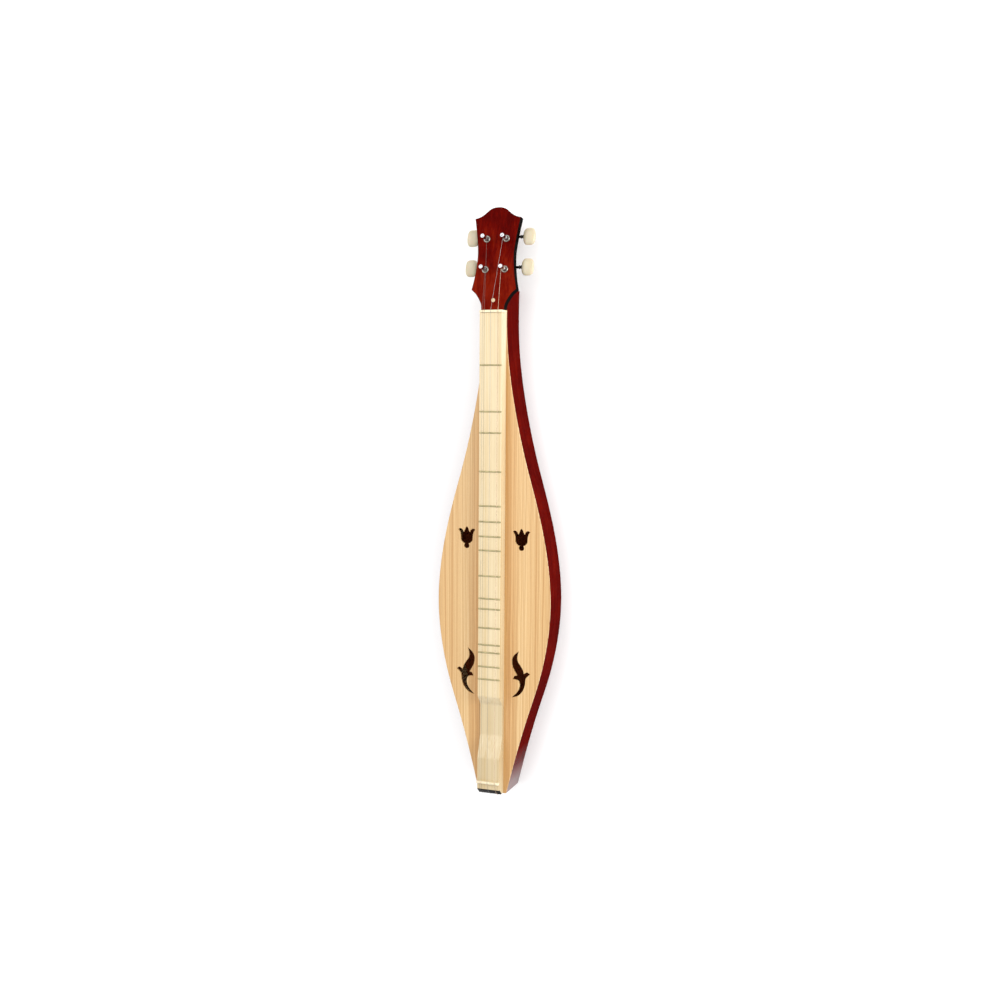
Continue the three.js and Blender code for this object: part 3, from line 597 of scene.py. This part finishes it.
def fillet(points, radius, pieces=3, closed=False):
    """Round a polyline's corners, each by no more than its edges have room for."""
    found = []
    count = len(points)
    for i, point in enumerate(points):
        if not closed and i in (0, count - 1):
            found.append(tuple(point))
            continue
        here = Vector(point)
        back = Vector(points[i - 1]) - here
        on = Vector(points[(i + 1) % count]) - here
        reach = min(radius, 0.45 * back.length, 0.45 * on.length)
        start, end = here + back.normalized() * reach, here + on.normalized() * reach
        for k in range(pieces + 1):
            t = k / pieces
            found.append(tuple(start * (1 - t) ** 2 + here * 2 * t * (1 - t) + end * t * t))
    return found


# ---- meshes


def make(name, shape, matrix, look, smooth=35.0, weighted=False):
    """An object from (vertices, faces), with its place baked into its mesh."""
    vertices, faces = shape
    mesh = bpy.data.meshes.new(name)
    mesh.from_pydata([matrix @ Vector(v) for v in vertices], [], faces)
    work = bmesh.new()
    work.from_mesh(mesh)
    bmesh.ops.remove_doubles(work, verts=work.verts, dist=1e-7)
    bmesh.ops.recalc_face_normals(work, faces=work.faces)
    work.to_mesh(mesh)
    work.free()
    mesh.materials.append(LOOKS[look])
    thing = add_object(name, mesh)
    shade(thing, smooth)
    if weighted:
        modifier = thing.modifiers.new("even_normals", "WEIGHTED_NORMAL")
        modifier.keep_sharp = True
    return thing


def shade(thing, smooth):
    thing.data.shade_smooth()
    thing.data.set_sharp_from_angle(angle=math.radians(smooth))


def place(thing, body, slot, *nodes):
    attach(thing, body)
    if nodes:
        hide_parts(*nodes)


def loft(rings, loop=False, caps=True):
    """A skin over rings of points, each ring closed."""
    size = len(rings[0])
    vertices = [tuple(point) for ring in rings for point in ring]
    faces = []
    for r in range(len(rings) if loop else len(rings) - 1):
        base, on = r * size, ((r + 1) % len(rings)) * size
        faces += [(base + i, base + (i + 1) % size, on + (i + 1) % size, on + i) for i in range(size)]
    if caps and not loop:
        faces.append(tuple(range(size - 1, -1, -1)))
        faces.append(tuple((len(rings) - 1) * size + i for i in range(size)))
    return vertices, faces


def merge(*shapes):
    vertices, faces = [], []
    for more_vertices, more_faces in shapes:
        start = len(vertices)
        vertices += more_vertices
        faces += [tuple(start + i for i in face) for face in more_faces]
    return vertices, faces


def lathe(profile, count=40, loop=False):
    """A solid turned about Z from (radius, z) pairs, or a ring where the profile closes on itself."""
    return loft([[(r * c, r * s, z) for c, s in circle((0, 0), 1, count)] for r, z in profile], loop=loop)


def both_ends(rings):
    """Rings at the left end of a bar, and the same at its right end."""
    return rings + [[(-x, y, z) for x, y, z in ring] for ring in reversed(rings)]


def rim(points, z0, z1, edge, pieces, grow):
    """Rings up the wall of an outline, rounded at both faces. Grow is -1 for a hole."""
    levels = [(points, z0), (points, z1)]
    if edge:
        lower = [(offset(points, grow * edge * (1 - math.sin(a))), z0 + edge * (1 - math.cos(a)))
                 for a in steps(0, math.pi / 2, pieces)]
        levels = lower + [(ring, z0 + z1 - z) for ring, z in reversed(lower)]
    return [[(x, y, z) for x, y in ring] for ring, z in levels]


def plate(outline, z0, z1, edge=0.0, holes=(), hole_edge=0.0, pieces=3):
    """A flat board with rounded edges and holes."""
    walls = [(outline, edge, 1)] + [(hole, hole_edge, -1) for hole in holes]
    vertices, faces, bottoms, tops = [], [], [], []
    for points, radius, grow in walls:
        points = anticlockwise(points)
        rings = rim(points, z0, z1, radius, pieces, grow)
        wall_vertices, wall_faces = loft(rings, caps=False)
        start, size = len(vertices), len(points)
        vertices += wall_vertices
        faces += [tuple(start + i for i in face) for face in wall_faces]
        bottoms.append(list(range(start, start + size)))
        tops.append(list(range(start + len(wall_vertices) - size, start + len(wall_vertices))))
    for loops in (bottoms, tops):
        flat = [[Vector((*vertices[i][:2], 0)) for i in ring] for ring in loops]
        index = [i for ring in loops for i in ring]
        faces += [tuple(index[i] for i in triangle) for triangle in tessellate_polygon(flat)]
    return vertices, faces


def box_shape(x0, x1, y0, y1, z0, z1):
    return loft([[(x0, y0, z), (x1, y0, z), (x1, y1, z), (x0, y1, z)] for z in (z0, z1)])


def carve(thing, shape, matrix):
    """Cut a shape out of an object."""
    cutter = make("cutter", shape, matrix, "steel")
    modifier = thing.modifiers.new("carve", "BOOLEAN")
    modifier.operation = "DIFFERENCE"
    modifier.solver = "EXACT"
    modifier.object = cutter
    bpy.context.view_layer.update()
    cut = bpy.data.meshes.new_from_object(thing.evaluated_get(bpy.context.evaluated_depsgraph_get()))
    thing.modifiers.remove(modifier)
    old, thing.data = thing.data, cut
    cut.name = old.name
    bpy.data.meshes.remove(old)
    bpy.data.objects.remove(cutter)
    shade(thing, 40)


def paint_faces(thing, look, chosen):
    """Give a second material to the faces whose normal is chosen."""
    thing.data.materials.append(LOOKS[look])
    index = len(thing.data.materials) - 1
    for face in thing.data.polygons:
        if chosen(face.normal):
            face.material_index = index


def wire(name, points, radius, look, matrix=BODY):
    """A round wire through points."""
    data = bpy.data.curves.new(name, "CURVE")
    data.dimensions = "3D"
    data.bevel_depth = radius * MM
    data.bevel_resolution = 3
    data.use_fill_caps = True
    spline = data.splines.new("POLY")
    spline.points.add(len(points) - 1)
    for spot, point in zip(spline.points, points):
        spot.co = (*(matrix @ Vector(point)), 1)
    data.materials.append(LOOKS[look])
    return add_object(name, data)


# ---- sound box


def rim_top(y):
    """The height of the sides: under the soundboard, then under the headstock's sloping seat."""
    if y <= SOUNDBOARD_END:
        return TOP_UNDER
    seat = BODY.inverted() @ HEAD @ Vector((0, 0, -HEAD_THICK - 0.3))
    return seat.z - math.tan(HEAD_TILT) * (y - seat.y)


def along_rim(start, end, count):
    """Stations, with a step where the soundboard stops."""
    stations = [(y, rim_top(y)) for y in steps(start, end, count)]
    stations += [(SOUNDBOARD_END, TOP_UNDER), (SOUNDBOARD_END + 0.01, rim_top(SOUNDBOARD_END + 0.01))]
    return sorted(stations)


def soundboard(label, side):
    outline = edge_points(TAIL_END, SOUNDBOARD_END) + [(0.15, SOUNDBOARD_END), (0.15, TAIL_END)]
    outline = [(side * x, y) for x, y in outline]
    shape = plate(outline, TOP_UNDER, TOP, 0.45, [tulip(side), bird(side)], 0.2)
    thing = make(f"soundboard_{label}_wood", shape, BODY, "soundboard", weighted=True)
    place(thing, ROOT, "soundboard_wood", f"soundboard_{label}")


def bent_side(label, side):
    rings = []
    for y, top in along_rim(TAIL_END, NECK_END, 190):
        outer, inner = half_width(y), inset_half_width(y, SIDE_THICK)
        ring = [(outer, BACK_TOP), (outer, top), (inner, top), (inner, BACK_TOP)]
        rings.append([(side * x, y, z) for x, z in ring])
    thing = make(f"side_{label}_panel", loft(rings), BODY, "red", weighted=True)
    paint_faces(thing, "bare_mahogany", lambda normal: normal.x * side < -0.5)
    place(thing, ROOT, "red_wood", f"side_{label}")


def back_plate():
    right = edge_points(TAIL_END, NECK_END)
    shape = plate(right + mirrored(right), 0, BACK_TOP, 0.8)
    thing = make("back_panel", shape, BODY, "red", weighted=True)
    paint_faces(thing, "bare_mahogany", lambda normal: normal.z > 0.9)
    place(thing, ROOT, "red_wood", "back_plate")


def end_block(name, stations, outward):
    """A block that fills one end of the box, red on the face that shows."""
    rings = []
    for y, top in stations:
        reach = inset_half_width(y, BLOCK_INSET)
        rings.append([(-reach, y, BACK_TOP), (reach, y, BACK_TOP), (reach, y, top), (-reach, y, top)])
    thing = make(f"{name}_wood", loft(rings), BODY, "bare_mahogany")
    paint_faces(thing, "red", lambda normal: normal.y * outward > 0.9)
    place(thing, ROOT, "block_wood", name)


# Each brace's place along the box, and which way it stands from the plate that it is glued to.
BRACES = {
    "soundboard_brace_upper": (440, -1),
    "soundboard_brace_lower": (105, -1),
    "back_brace_upper": (430, 1),
    "back_brace_middle": (270, 1),
    "back_brace_lower": (95, 1),
}
BRACE_HALF = 4
BRACE_HEIGHT = 10
LINING_START = 17.0
LINING_END = 637.0


def brace(name, y, direction):
    """A bar with a rounded crest, carved down towards both ends."""
    glue = TOP_UNDER if direction < 0 else BACK_TOP
    reach = min(inset_half_width(y + k, BLOCK_INSET) for k in (-BRACE_HALF, BRACE_HALF))
    rings = []
    for x in steps(-reach, reach, 40):
        taper = min(1.0, 0.35 + (reach - abs(x)) / 26)
        tall = BRACE_HEIGHT * (0.35 + 0.65 * math.sin(taper * math.pi / 2) ** 2)
        arch = [(BRACE_HALF * math.cos(a), (tall - 3) + 3 * math.sin(a)) for a in steps(0, math.pi, 8)]
        ring = [(-BRACE_HALF, 0), (BRACE_HALF, 0), *arch]
        rings.append([(x, y + dy, glue + direction * dz) for dy, dz in ring])
    thing = make(f"{name}_bar", loft(rings), BODY, "spruce")
    place(thing, ROOT, "brace_wood", name)


def kerfed_lining(label, side, level, direction, gaps):
    """A notched strip along the inside of a rim, in stretches between the braces."""
    glue = TOP_UNDER if direction < 0 else BACK_TOP
    notch, tooth = 1.0, 5.0
    deep, shallow = 5.5, 1.2
    room = BRACE_HALF + 2
    shapes = []
    start = LINING_START
    for end in [*(y - room for y in gaps), LINING_END]:
        count = int((end - start) / (notch + tooth))
        rings = []
        for i in range(count):
            y = start + i * (notch + tooth)
            for place_y, depth in ((y, deep), (y + tooth, deep), (y + tooth, shallow),
                                   (y + tooth + notch, shallow)):
                outer = inset_half_width(place_y, SIDE_THICK + 0.05)
                inner, tall = outer - depth, depth * 2
                ring = [(outer, 0), (inner, 0), (inner, min(depth, 2.5)), (outer - 1, tall), (outer, tall)]
                rings.append([(side * x, place_y, glue + direction * z) for x, z in ring])
        shapes.append(loft(rings))
        start = end + 2 * room
    thing = make(f"lining_{level}_{label}", merge(*shapes), BODY, "spruce")
    place(thing, ROOT, "brace_wood")


def sound_box():
    back_plate()
    end_block("tail_block", [(y, TOP_UNDER) for y in steps(TAIL_END, 14, 12)], -1)
    end_block("head_block", along_rim(640, NECK_END, 24), 1)
    for label, side in SIDES.items():
        soundboard(label, side)
        bent_side(label, side)
        for level, direction in (("top", -1), ("back", 1)):
            gaps = sorted(y for y, way in BRACES.values() if way == direction)
            kerfed_lining(label, side, level, direction, gaps)
    for name, (y, direction) in BRACES.items():
        brace(name, y, direction)


# ---- fretboard and what stands on it

FRET_Y = [SCALE_LENGTH * 2 ** (-semitones / 12) for semitones in FRET_SEMITONES]
TANG_HALF = 0.3
SADDLE_TOP = BOARD_TOP + SADDLE["rise"]


def board_heights():
    """(y, height) pairs along the fretboard's top, from the tail to the nut."""
    under_saddle = SADDLE_TOP - SADDLE["thick"]
    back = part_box("fretboard")[0].y / MM - BRIDGE_Y
    head_end = SCALE_LENGTH + 0.02
    floor = TOP + HOLLOW["floor"]
    under_front = SADDLE["inner"] + 0.3
    slot_back, slot_front, slot_floor = -4.05, 0.05, BOARD_TOP - 3
    corners = [(HOLLOW["tail_top"] - 12, BOARD_TOP), (HOLLOW["tail_top"], BOARD_TOP),
               (HOLLOW["tail_foot"], floor), (HOLLOW["head_foot"], floor),
               (HOLLOW["head_top"], BOARD_TOP), (HOLLOW["head_top"] + 8, BOARD_TOP)]
    found = [(back, under_saddle - SADDLE["drop"]), (under_front, under_saddle),
             (under_front, BOARD_TOP), (slot_back, BOARD_TOP), (slot_back, slot_floor),
             (slot_front, slot_floor), (slot_front, BOARD_TOP), *fillet(corners, 2.5, 6)]
    for y in sorted(FRET_Y):
        near, far = y - (TANG_HALF + 0.05), y + (TANG_HALF + 0.05)
        deep = BOARD_TOP - 1.9
        found += [(near, BOARD_TOP), (near, deep), (far, deep), (far, BOARD_TOP)]
    return [*found, (head_end, BOARD_TOP)]


def fretboard():
    round_over = 0.7
    rings = []
    for y, top in board_heights():
        corner = [(HALF_BOARD - round_over * (1 - math.cos(a)), top - round_over * (1 - math.sin(a)))
                  for a in steps(0, math.pi / 2, 4)]
        ring = [(HALF_BOARD, TOP), *corner]
        ring += [(-x, z) for x, z in reversed(ring)]
        rings.append([(x, y, z) for x, z in ring])
    thing = make("fretboard_wood", loft(rings), BODY, "fretboard", 30, weighted=True)
    place(thing, ROOT, "fretboard_wood", "fretboard")


def fret(label, y):
    """Crowned wire with filed ends, over its tang."""
    crown = [(1.15 * math.cos(a), 1.05 * math.sin(a) ** 0.8) for a in steps(0, math.pi, 12)]
    reach = HALF_BOARD - 0.35
    rings = []
    for inwards, tall, wide in ((0, 0.06, 0.8), (0.25, 0.6, 0.94), (0.7, 0.92, 1), (1.3, 1, 1)):
        rings.append([(inwards - reach, y + dy * wide, BOARD_TOP + dz * tall) for dy, dz in crown])
    tang = box_shape(-reach, reach, y - TANG_HALF, y + TANG_HALF, BOARD_TOP - 1.7, BOARD_TOP + 0.05)
    thing = make(f"fret_wire_{label}", merge(loft(both_ends(rings)), tang), BODY, "fret", 40)
    place(thing, ROOT, "fret_wire", f"fret_{label}")


NOTCH_SPREAD = 0.12
NOTCH_STATIONS = (-1.02, -1, -0.8, -0.5, 0, 0.5, 0.8, 1, 1.02)
NUT_STRING_Z = high("nut").z - 0.5
BRIDGE_STRING_Z = high("bridge").z - 0.5
NUT_BACK = high("nut").y


def notched_bar(name, corners, reach, string_height):
    """A bone bar along X whose top is notched for the strings, which lie at string_height."""
    profile = fillet(corners, 0.5, 4, True)
    notches = [(x, radius, radius + NOTCH_SPREAD) for radius, x, *_ in STRINGS.values()]
    stations = {-reach, -reach + 0.3, reach - 0.3, reach}
    for x, _, wide in notches:
        stations |= {x + k * wide for k in NOTCH_STATIONS}
    rings = []
    for x in sorted(stations):
        limit = math.inf
        for centre, radius, wide in notches:
            away = abs(x - centre) / wide
            if away <= 1:
                limit = string_height - radius * math.sqrt(1 - away * away)
        ring = offset(profile, 0.25) if abs(x) == reach else profile
        rings.append([(x, y, min(z, limit)) for y, z in ring])
    thing = make(f"{name}_bone", loft(rings), BODY, "bone", 40)
    place(thing, ROOT, "bone", name)


def nut():
    top = high("nut").z
    corners = [(SCALE_LENGTH, TOP), (NUT_BACK, TOP), (NUT_BACK, top - 1.2), (SCALE_LENGTH + 0.4, top)]
    notched_bar("nut", corners, HALF_BOARD, NUT_STRING_Z)


def bridge():
    top, foot = high("bridge").z, low("bridge").z
    corners = [(-4, foot), (0, foot), (0, top - 0.5), (-0.6, top), (-2.2, top - 0.1), (-4, top - 1.8)]
    notched_bar("bridge", corners, HALF_BOARD - 0.4, BRIDGE_STRING_Z)


def tail_saddle():
    inner, outer, thick = SADDLE["inner"], SADDLE["outer"], SADDLE["thick"]
    foot = SADDLE_TOP - SADDLE["drop"]
    corners = [(inner, SADDLE_TOP - thick), (inner, SADDLE_TOP), (outer, foot), (outer, foot - thick)]
    profile = anticlockwise(fillet(corners, 0.7, 5, True))
    rings = []
    for x, shrink in ((-HALF_BOARD, 0.5), (-HALF_BOARD + 0.15, 0.2), (-HALF_BOARD + 0.5, 0)):
        rings.append([(x, y, z) for y, z in offset(profile, shrink)])
    thing = make("tail_saddle_plate", loft(both_ends(rings)), BODY, "ebony", 40)
    place(thing, ROOT, "black_wood", "tail_saddle")


def on_the_board():
    fretboard()
    nut()
    bridge()
    tail_saddle()
    for label, y in zip(FRET_LABELS, FRET_Y):
        fret(label, y)


# ---- headstock


def tuner_v(row):
    return LOWER_TUNER_V + row * TUNER_PITCH


def headstock():
    half = curved_outline(HEADSTOCK_SIDE, 12) + HEADSTOCK_SIDE[-1][-1:]
    bores = [circle((side * TUNER_U, tuner_v(row)), 4.5)
             for side in SIDES.values() for row in ROWS.values()]
    bores.append(circle((0, DOWEL_V), DOWEL_RADIUS + 0.05))
    shape = plate(half + mirrored(half)[1:], -HEAD_THICK, 0, 0.7, bores, pieces=4)
    thing = make("headstock_board", shape, HEAD, "red_head", weighted=True)
    work = bmesh.new()
    work.from_mesh(thing.data)
    base = Vector((0, (HEAD_BASE + BRIDGE_Y) * MM, 0))
    cut = bmesh.ops.bisect_plane(work, geom=[*work.verts, *work.edges, *work.faces], plane_co=base,
                                 plane_no=(0, -1, 0), clear_outer=True)
    rims = [item for item in cut["geom_cut"] if isinstance(item, bmesh.types.BMEdge)]
    bmesh.ops.edgeloop_fill(work, edges=rims)
    bmesh.ops.recalc_face_normals(work, faces=work.faces)
    work.to_mesh(thing.data)
    work.free()
    shade(thing, 35)
    paint_faces(thing, "black_edge", lambda normal: abs(normal.dot(HEAD_NORMAL)) < 0.93)
    place(thing, ROOT, "red_wood", "headstock")


def dowel():
    profile = fillet([(DOWEL_RADIUS, -25.5), (DOWEL_RADIUS, 0.4), (0.01, 0.5)], 0.4, 3)
    where = HEAD @ Matrix.Translation((0, DOWEL_V, 0))
    thing = make("headstock_dowel_pin", lathe(profile, 32), where, "maple_end", 40)
    place(thing, ROOT, "dowel_wood", "headstock_dowel")


# ---- geared tuners


def tuner_frame(side, v):
    """Out along the shafts, up the headstock and out of its face, from the posts' line at a height v."""
    return HEAD @ Matrix.Translation((side * TUNER_U, v, 0)) @ Matrix.Diagonal((side, 1, 1, 1))


ALONG_U = Matrix.Rotation(math.pi / 2, 4, "Y")
SHAFT = Matrix.Translation((0, WORM_OFFSET, -WORM_DEPTH))


def bushing(where, place_name):
    ring = [(3.25, -8), (4.2, -8), (4.2, 0.05), (5.3, 0.05),
            (5.3, 0.8), (4.5, 1.45), (3.6, 1.5), (3.25, 1.2)]
    shape = lathe(fillet(ring, 0.3, 4, True), 48, loop=True)
    thing = make(f"bushing_{place_name}", shape, where, "nickel", 50)
    place(thing, ROOT, "plated_metal", f"post_bushing_{place_name}")


def string_post(where, place_name):
    foot = -WORM_DEPTH - 1.5
    under = -HEAD_THICK - 1.9
    profile = [(2, foot - 0.9), (2, foot + 3), (3.3, foot + 3), (3.3, under), (3, under),
               (3, COIL_HEIGHT - 2.6), (COIL_RADIUS, COIL_HEIGHT - 1.8), (COIL_RADIUS, COIL_HEIGHT + 3.2),
               (3, COIL_HEIGHT + 4.4), (3, POST_HEIGHT - 0.1), (1.5, POST_HEIGHT), (1.1, POST_HEIGHT - 0.7),
               (0.01, POST_HEIGHT - 0.8)]
    thing = make(f"post_{place_name}", lathe(fillet(profile, 0.45, 4), 40), where, "chrome", 40)
    hole = lathe([(0.75, -5), (0.75, 5)], 20)
    carve(thing, hole, where @ Matrix.Translation((0, 0, COIL_HEIGHT + 2.3)) @ ALONG_U)
    place(thing, f"post_{place_name}", "plated_metal", f"string_post_{place_name}")


def gear_wheel(where, place_name):
    """The brass wheel on the post's foot, with the screw that holds it."""
    outer, root = 4.9, 4.0
    flank = [(root, -0.27), (root + 0.25, -0.2), (outer - 0.12, -0.135), (outer, -0.08)]
    pitch = 2 * math.pi / GEAR_TEETH
    outline = []
    for i in range(GEAR_TEETH):
        middle = (i + 0.5) * pitch
        for radius, share in flank + [(radius, -share) for radius, share in reversed(flank)]:
            angle = middle + share * pitch
            outline.append((-radius * math.sin(angle), radius * math.cos(angle)))
    bore = circle((0, 0), 2.02, 24)
    shape = plate(outline, -WORM_DEPTH - 1.5, -WORM_DEPTH + 1.5, 0.15, [bore], pieces=2)
    thing = make(f"gear_{place_name}", shape, where, "brass", 30, weighted=True)
    place(thing, f"post_{place_name}", "plated_metal")
    foot = -WORM_DEPTH - 2.3
    profile = [(0.4, foot + 0.6), (1.9, foot + 0.55), (1.8, foot - 0.2), (0.01, foot - 0.45)]
    head = lathe(fillet(profile, 0.3, 3), 28)
    screw = make(f"gear_screw_{place_name}", head, where, "steel", 40)
    carve(screw, box_shape(-2.5, 2.5, -0.22, 0.22, foot - 1, foot), where)
    place(screw, f"post_{place_name}", "plated_metal")


def worm_shaft(where, place_name):
    lead = 2 * math.pi * (WORM_OFFSET - 2.5) / GEAR_TEETH
    turns, per_turn = 3.0, 36
    thread = []
    for i in range(int(turns * per_turn) + 1):
        angle = (i / (turns * per_turn) - 0.5) * turns * 2 * math.pi
        along = lead * angle / (2 * math.pi)
        fade = min(1.0, 3 * i / per_turn, 3 * (turns * per_turn - i) / per_turn)
        tall = 1.7 + 0.95 * max(fade, 0.05)
        section = ((-0.48, 1.6), (-0.26, tall), (0.26, tall), (0.48, 1.6))
        thread.append([(along + du, -r * math.cos(angle), -r * math.sin(angle)) for du, r in section])
    profile = [(2.5, -7.7), (2.6, -6.6), (1.8, -6.5), (1.8, 6.5), (2.7, 6.5), (2.8, 7.8),
               (2, 8.0), (1.9, 15.2), (2.85, 15.9), (2.85, 16.8), (1.9, 17.4), (1.9, 18.2),
               (2.85, 18.7), (2.85, 19.5), (1.75, 19.6), (1.75, 28.7)]
    vertices, faces = lathe(fillet(profile, 0.3, 3), 32)
    turned = [tuple(ALONG_U @ Vector(v)) for v in vertices]
    shape = merge((turned, faces), loft(thread))
    thing = make(f"worm_{place_name}", shape, where @ SHAFT, "dark_steel", 40)
    place(thing, f"peg_{place_name}", "shaft_steel", f"worm_shaft_{place_name}")


def signed_power(value, power):
    return math.copysign(abs(value) ** power, value)


def button(where, place_name):
    """A squarish oval, full in the middle and thin at its rim."""
    rings = []
    for a in steps(math.radians(4), math.radians(176), 36):
        along = -BUTTON.x / 2 * signed_power(math.cos(a), 0.62)
        swell = signed_power(math.sin(a), 0.62)
        ring = []
        for b in steps(0, 2 * math.pi, 56)[:-1]:
            tall = BUTTON.y / 2 * swell * signed_power(math.cos(b), 0.72)
            thick = BUTTON.z / 2 * swell ** 1.15 * signed_power(math.sin(b), 0.95)
            ring.append((along + BUTTON_START + BUTTON.x / 2, tall, thick))
        rings.append(ring)
    thing = make(f"button_{place_name}", loft(rings), where @ SHAFT, "button", 50)
    place(thing, f"peg_{place_name}", "button_plastic", f"tuner_button_{place_name}")


EAR_INNER, EAR_THICK, EAR_HALF = 5, 1.2, 3.4
PLATE_TOP = -HEAD_THICK - 0.1
PLATE_THICK = 1.2


def tuner_plate(label, side):
    v0, v1 = LOWER_TUNER_V - 11, tuner_v(1) + 17
    outline = fillet([(-6.2, v0), (7.6, v0), (7.6, v1), (-6.2, v1)], 4, 6, True)
    bores = [circle((0, tuner_v(row)), 3.3) for row in ROWS.values()]
    shapes = [plate(outline, PLATE_TOP - PLATE_THICK, PLATE_TOP, 0.3, bores, pieces=2)]
    for row in ROWS.values():
        shaft = tuner_v(row) + WORM_OFFSET
        for u in (-EAR_INNER - EAR_THICK, EAR_INNER):
            tip = [(-EAR_HALF * math.cos(a), -WORM_DEPTH - EAR_HALF * math.sin(a))
                   for a in steps(0, math.pi, 16)]
            ear = [(EAR_HALF, PLATE_TOP - 0.4), (-EAR_HALF, PLATE_TOP - 0.4), *tip]
            bore = circle((0, -WORM_DEPTH), 2.0, 28)
            ear_vertices, ear_faces = plate(ear, u, u + EAR_THICK, 0.2, [bore], pieces=2)
            shapes.append(([(z, shaft + x, y) for x, y, z in ear_vertices], ear_faces))
    where = tuner_frame(side, 0)
    thing = make(f"tuner_strip_{label}", merge(*shapes), where, "chrome", 35, weighted=True)
    place(thing, ROOT, "plated_metal", f"tuner_plate_{label}")
    for i, v in enumerate((v0 + 3.4, (v0 + v1) / 2 - 3, v1 - 3.4)):
        spot = where @ Matrix.Translation((0.7, v, PLATE_TOP - PLATE_THICK))
        profile = [(1.2, 0.3), (2.1, 0.1), (2.1, -0.35), (1.2, -1.15), (0.01, -1.3)]
        head = lathe(fillet(profile, 0.3, 4), 28)
        screw = make(f"plate_screw_{label}_{i + 1}", head, spot, "steel", 40)
        for turn in (0.4, 0.4 + math.pi / 2):
            slot = box_shape(-1.1, 1.1, -0.2, 0.2, -2, -0.65)
            carve(screw, slot, spot @ Matrix.Rotation(turn, 4, "Z"))
        place(screw, ROOT, "plated_metal")


def head_and_tuners():
    headstock()
    dowel()
    for label, side in SIDES.items():
        tuner_plate(label, side)
        for row_label, row in ROWS.items():
            where = tuner_frame(side, tuner_v(row))
            place_name = f"{row_label}_{label}"
            for build in (bushing, string_post, gear_wheel, worm_shaft, button):
                build(where, place_name)


# ---- strings and tail pins


def tail_pin(name):
    radius, x, _, _, z = STRINGS[name]
    gap = PIN_RADIUS + 0.3 + radius
    profile = fillet([(PIN_RADIUS, -PIN_OUT - 0.5), (PIN_RADIUS, PIN_OUT - 1.2), (1.9, PIN_OUT - 1.15),
                      (1.9, PIN_OUT - 0.7), (1.2, PIN_OUT - 0.1), (0.01, PIN_OUT)], 0.3, 4)
    where = BODY @ Matrix.Translation((x - gap, TAIL_END, z)) @ Matrix.Rotation(math.pi / 2, 4, "X")
    thing = make(f"pin_{name}", lathe(profile, 28), where, "brass", 40)
    place(thing, ROOT, "brass", f"tail_pin_{name}")


def straight_run(name):
    """From its twisted loop on the tail pin, over the saddle, bridge and nut, to the post."""
    radius, x, side, row, z = STRINGS[name]
    loop = PIN_RADIUS + radius + 0.02
    centre = x - (PIN_RADIUS + 0.3 + radius)
    tail_y = TAIL_END - 0.3 - radius
    twist = []
    for i in range(64):
        angle = 2 * math.pi * i / 12
        lift = z + 9 - i * 6 / 64
        twist.append((x + 1.9 * radius * math.cos(angle), tail_y + 1.9 * radius * math.sin(angle), lift))
    ring = [(centre + loop * math.cos(a), tail_y, z + loop * math.sin(a))
            for a in steps(0.2, 2 * math.pi - 0.5, 30)]
    down = [*twist, (x + 0.4 * radius, tail_y - radius, z + 2.4), *ring, (x, tail_y, z + 3)]

    slope = Vector((SADDLE["drop"], SADDLE["inner"] - SADDLE["outer"])).normalized()
    lift = Vector((-slope.x, slope.y)) * (radius + 0.02)
    foot = (SADDLE["outer"] + 0.25 + lift.x, SADDLE_TOP - SADDLE["drop"] + 0.25 + lift.y)
    crest = (SADDLE["inner"] - 0.5 + lift.x, SADDLE_TOP - 0.45 + lift.y)
    bends = [(tail_y, foot[1] - 2.2), (foot[0] - 0.1, foot[1]), crest,
             (-2.4, BRIDGE_STRING_Z + 0.05), (-0.5, BRIDGE_STRING_Z),
             (SCALE_LENGTH + 0.4, NUT_STRING_Z), (NUT_BACK - 0.3, NUT_STRING_Z - 0.12)]
    coil = COIL_RADIUS + radius
    end = BODY.inverted() @ HEAD @ Vector((side * (TUNER_U - coil), tuner_v(row), COIL_HEIGHT - 0.9))
    route = fillet([(x, tail_y, z + 3.2), *[(x, y, height) for y, height in bends], tuple(end)], 1.2, 5)
    return down + route


def winding(name):
    """The turns on the post, the crossing up to its hole and the cut end, in the headstock's axes."""
    radius, _, side, row, _ = STRINGS[name]
    coil = COIL_RADIUS + radius
    rise = 2 * radius + 0.03
    count = 4 if radius < 0.25 else 3
    points = []
    for i in range(count * 28 + 1):
        angle = 2 * math.pi * i / 28
        climb = COIL_HEIGHT - 0.9 + rise * angle / (2 * math.pi)
        points.append((-coil * math.cos(angle), coil * math.sin(angle), climb))
    top = points[-1][2]
    hole = COIL_HEIGHT + 2.3
    for t in steps(0.1, 1, 8):
        angle = 0.9 * t
        points.append((-coil * math.cos(angle), coil * math.sin(angle) * (1 - t), top + (hole - top) * t))
    points += [(-1.5, 0, hole), (3.0, 0, hole), (4.2, 0.3, hole + 0.2), (6.0, 1.2, hole + 0.9)]
    return [(side * (TUNER_U + u), tuner_v(row) + v, n) for u, v, n in points]


def strings():
    for name, (radius, _, side, row, _) in STRINGS.items():
        look = {"bass": "bronze", "middle": "steel"}.get(name, "thin_steel")
        slot = "bronze_string" if name == "bass" else "steel_string"
        tail_pin(name)
        run = wire(f"wire_{name}", straight_run(name), radius, look)
        place(run, ROOT, slot, f"string_{name}")
        post = f"post_{'upper' if row else 'lower'}_{'right' if side > 0 else 'left'}"
        coil = wire(f"winding_{name}", winding(name), radius, look, HEAD)
        place(coil, post, slot)


sound_box()
on_the_board()
head_and_tuners()
strings()
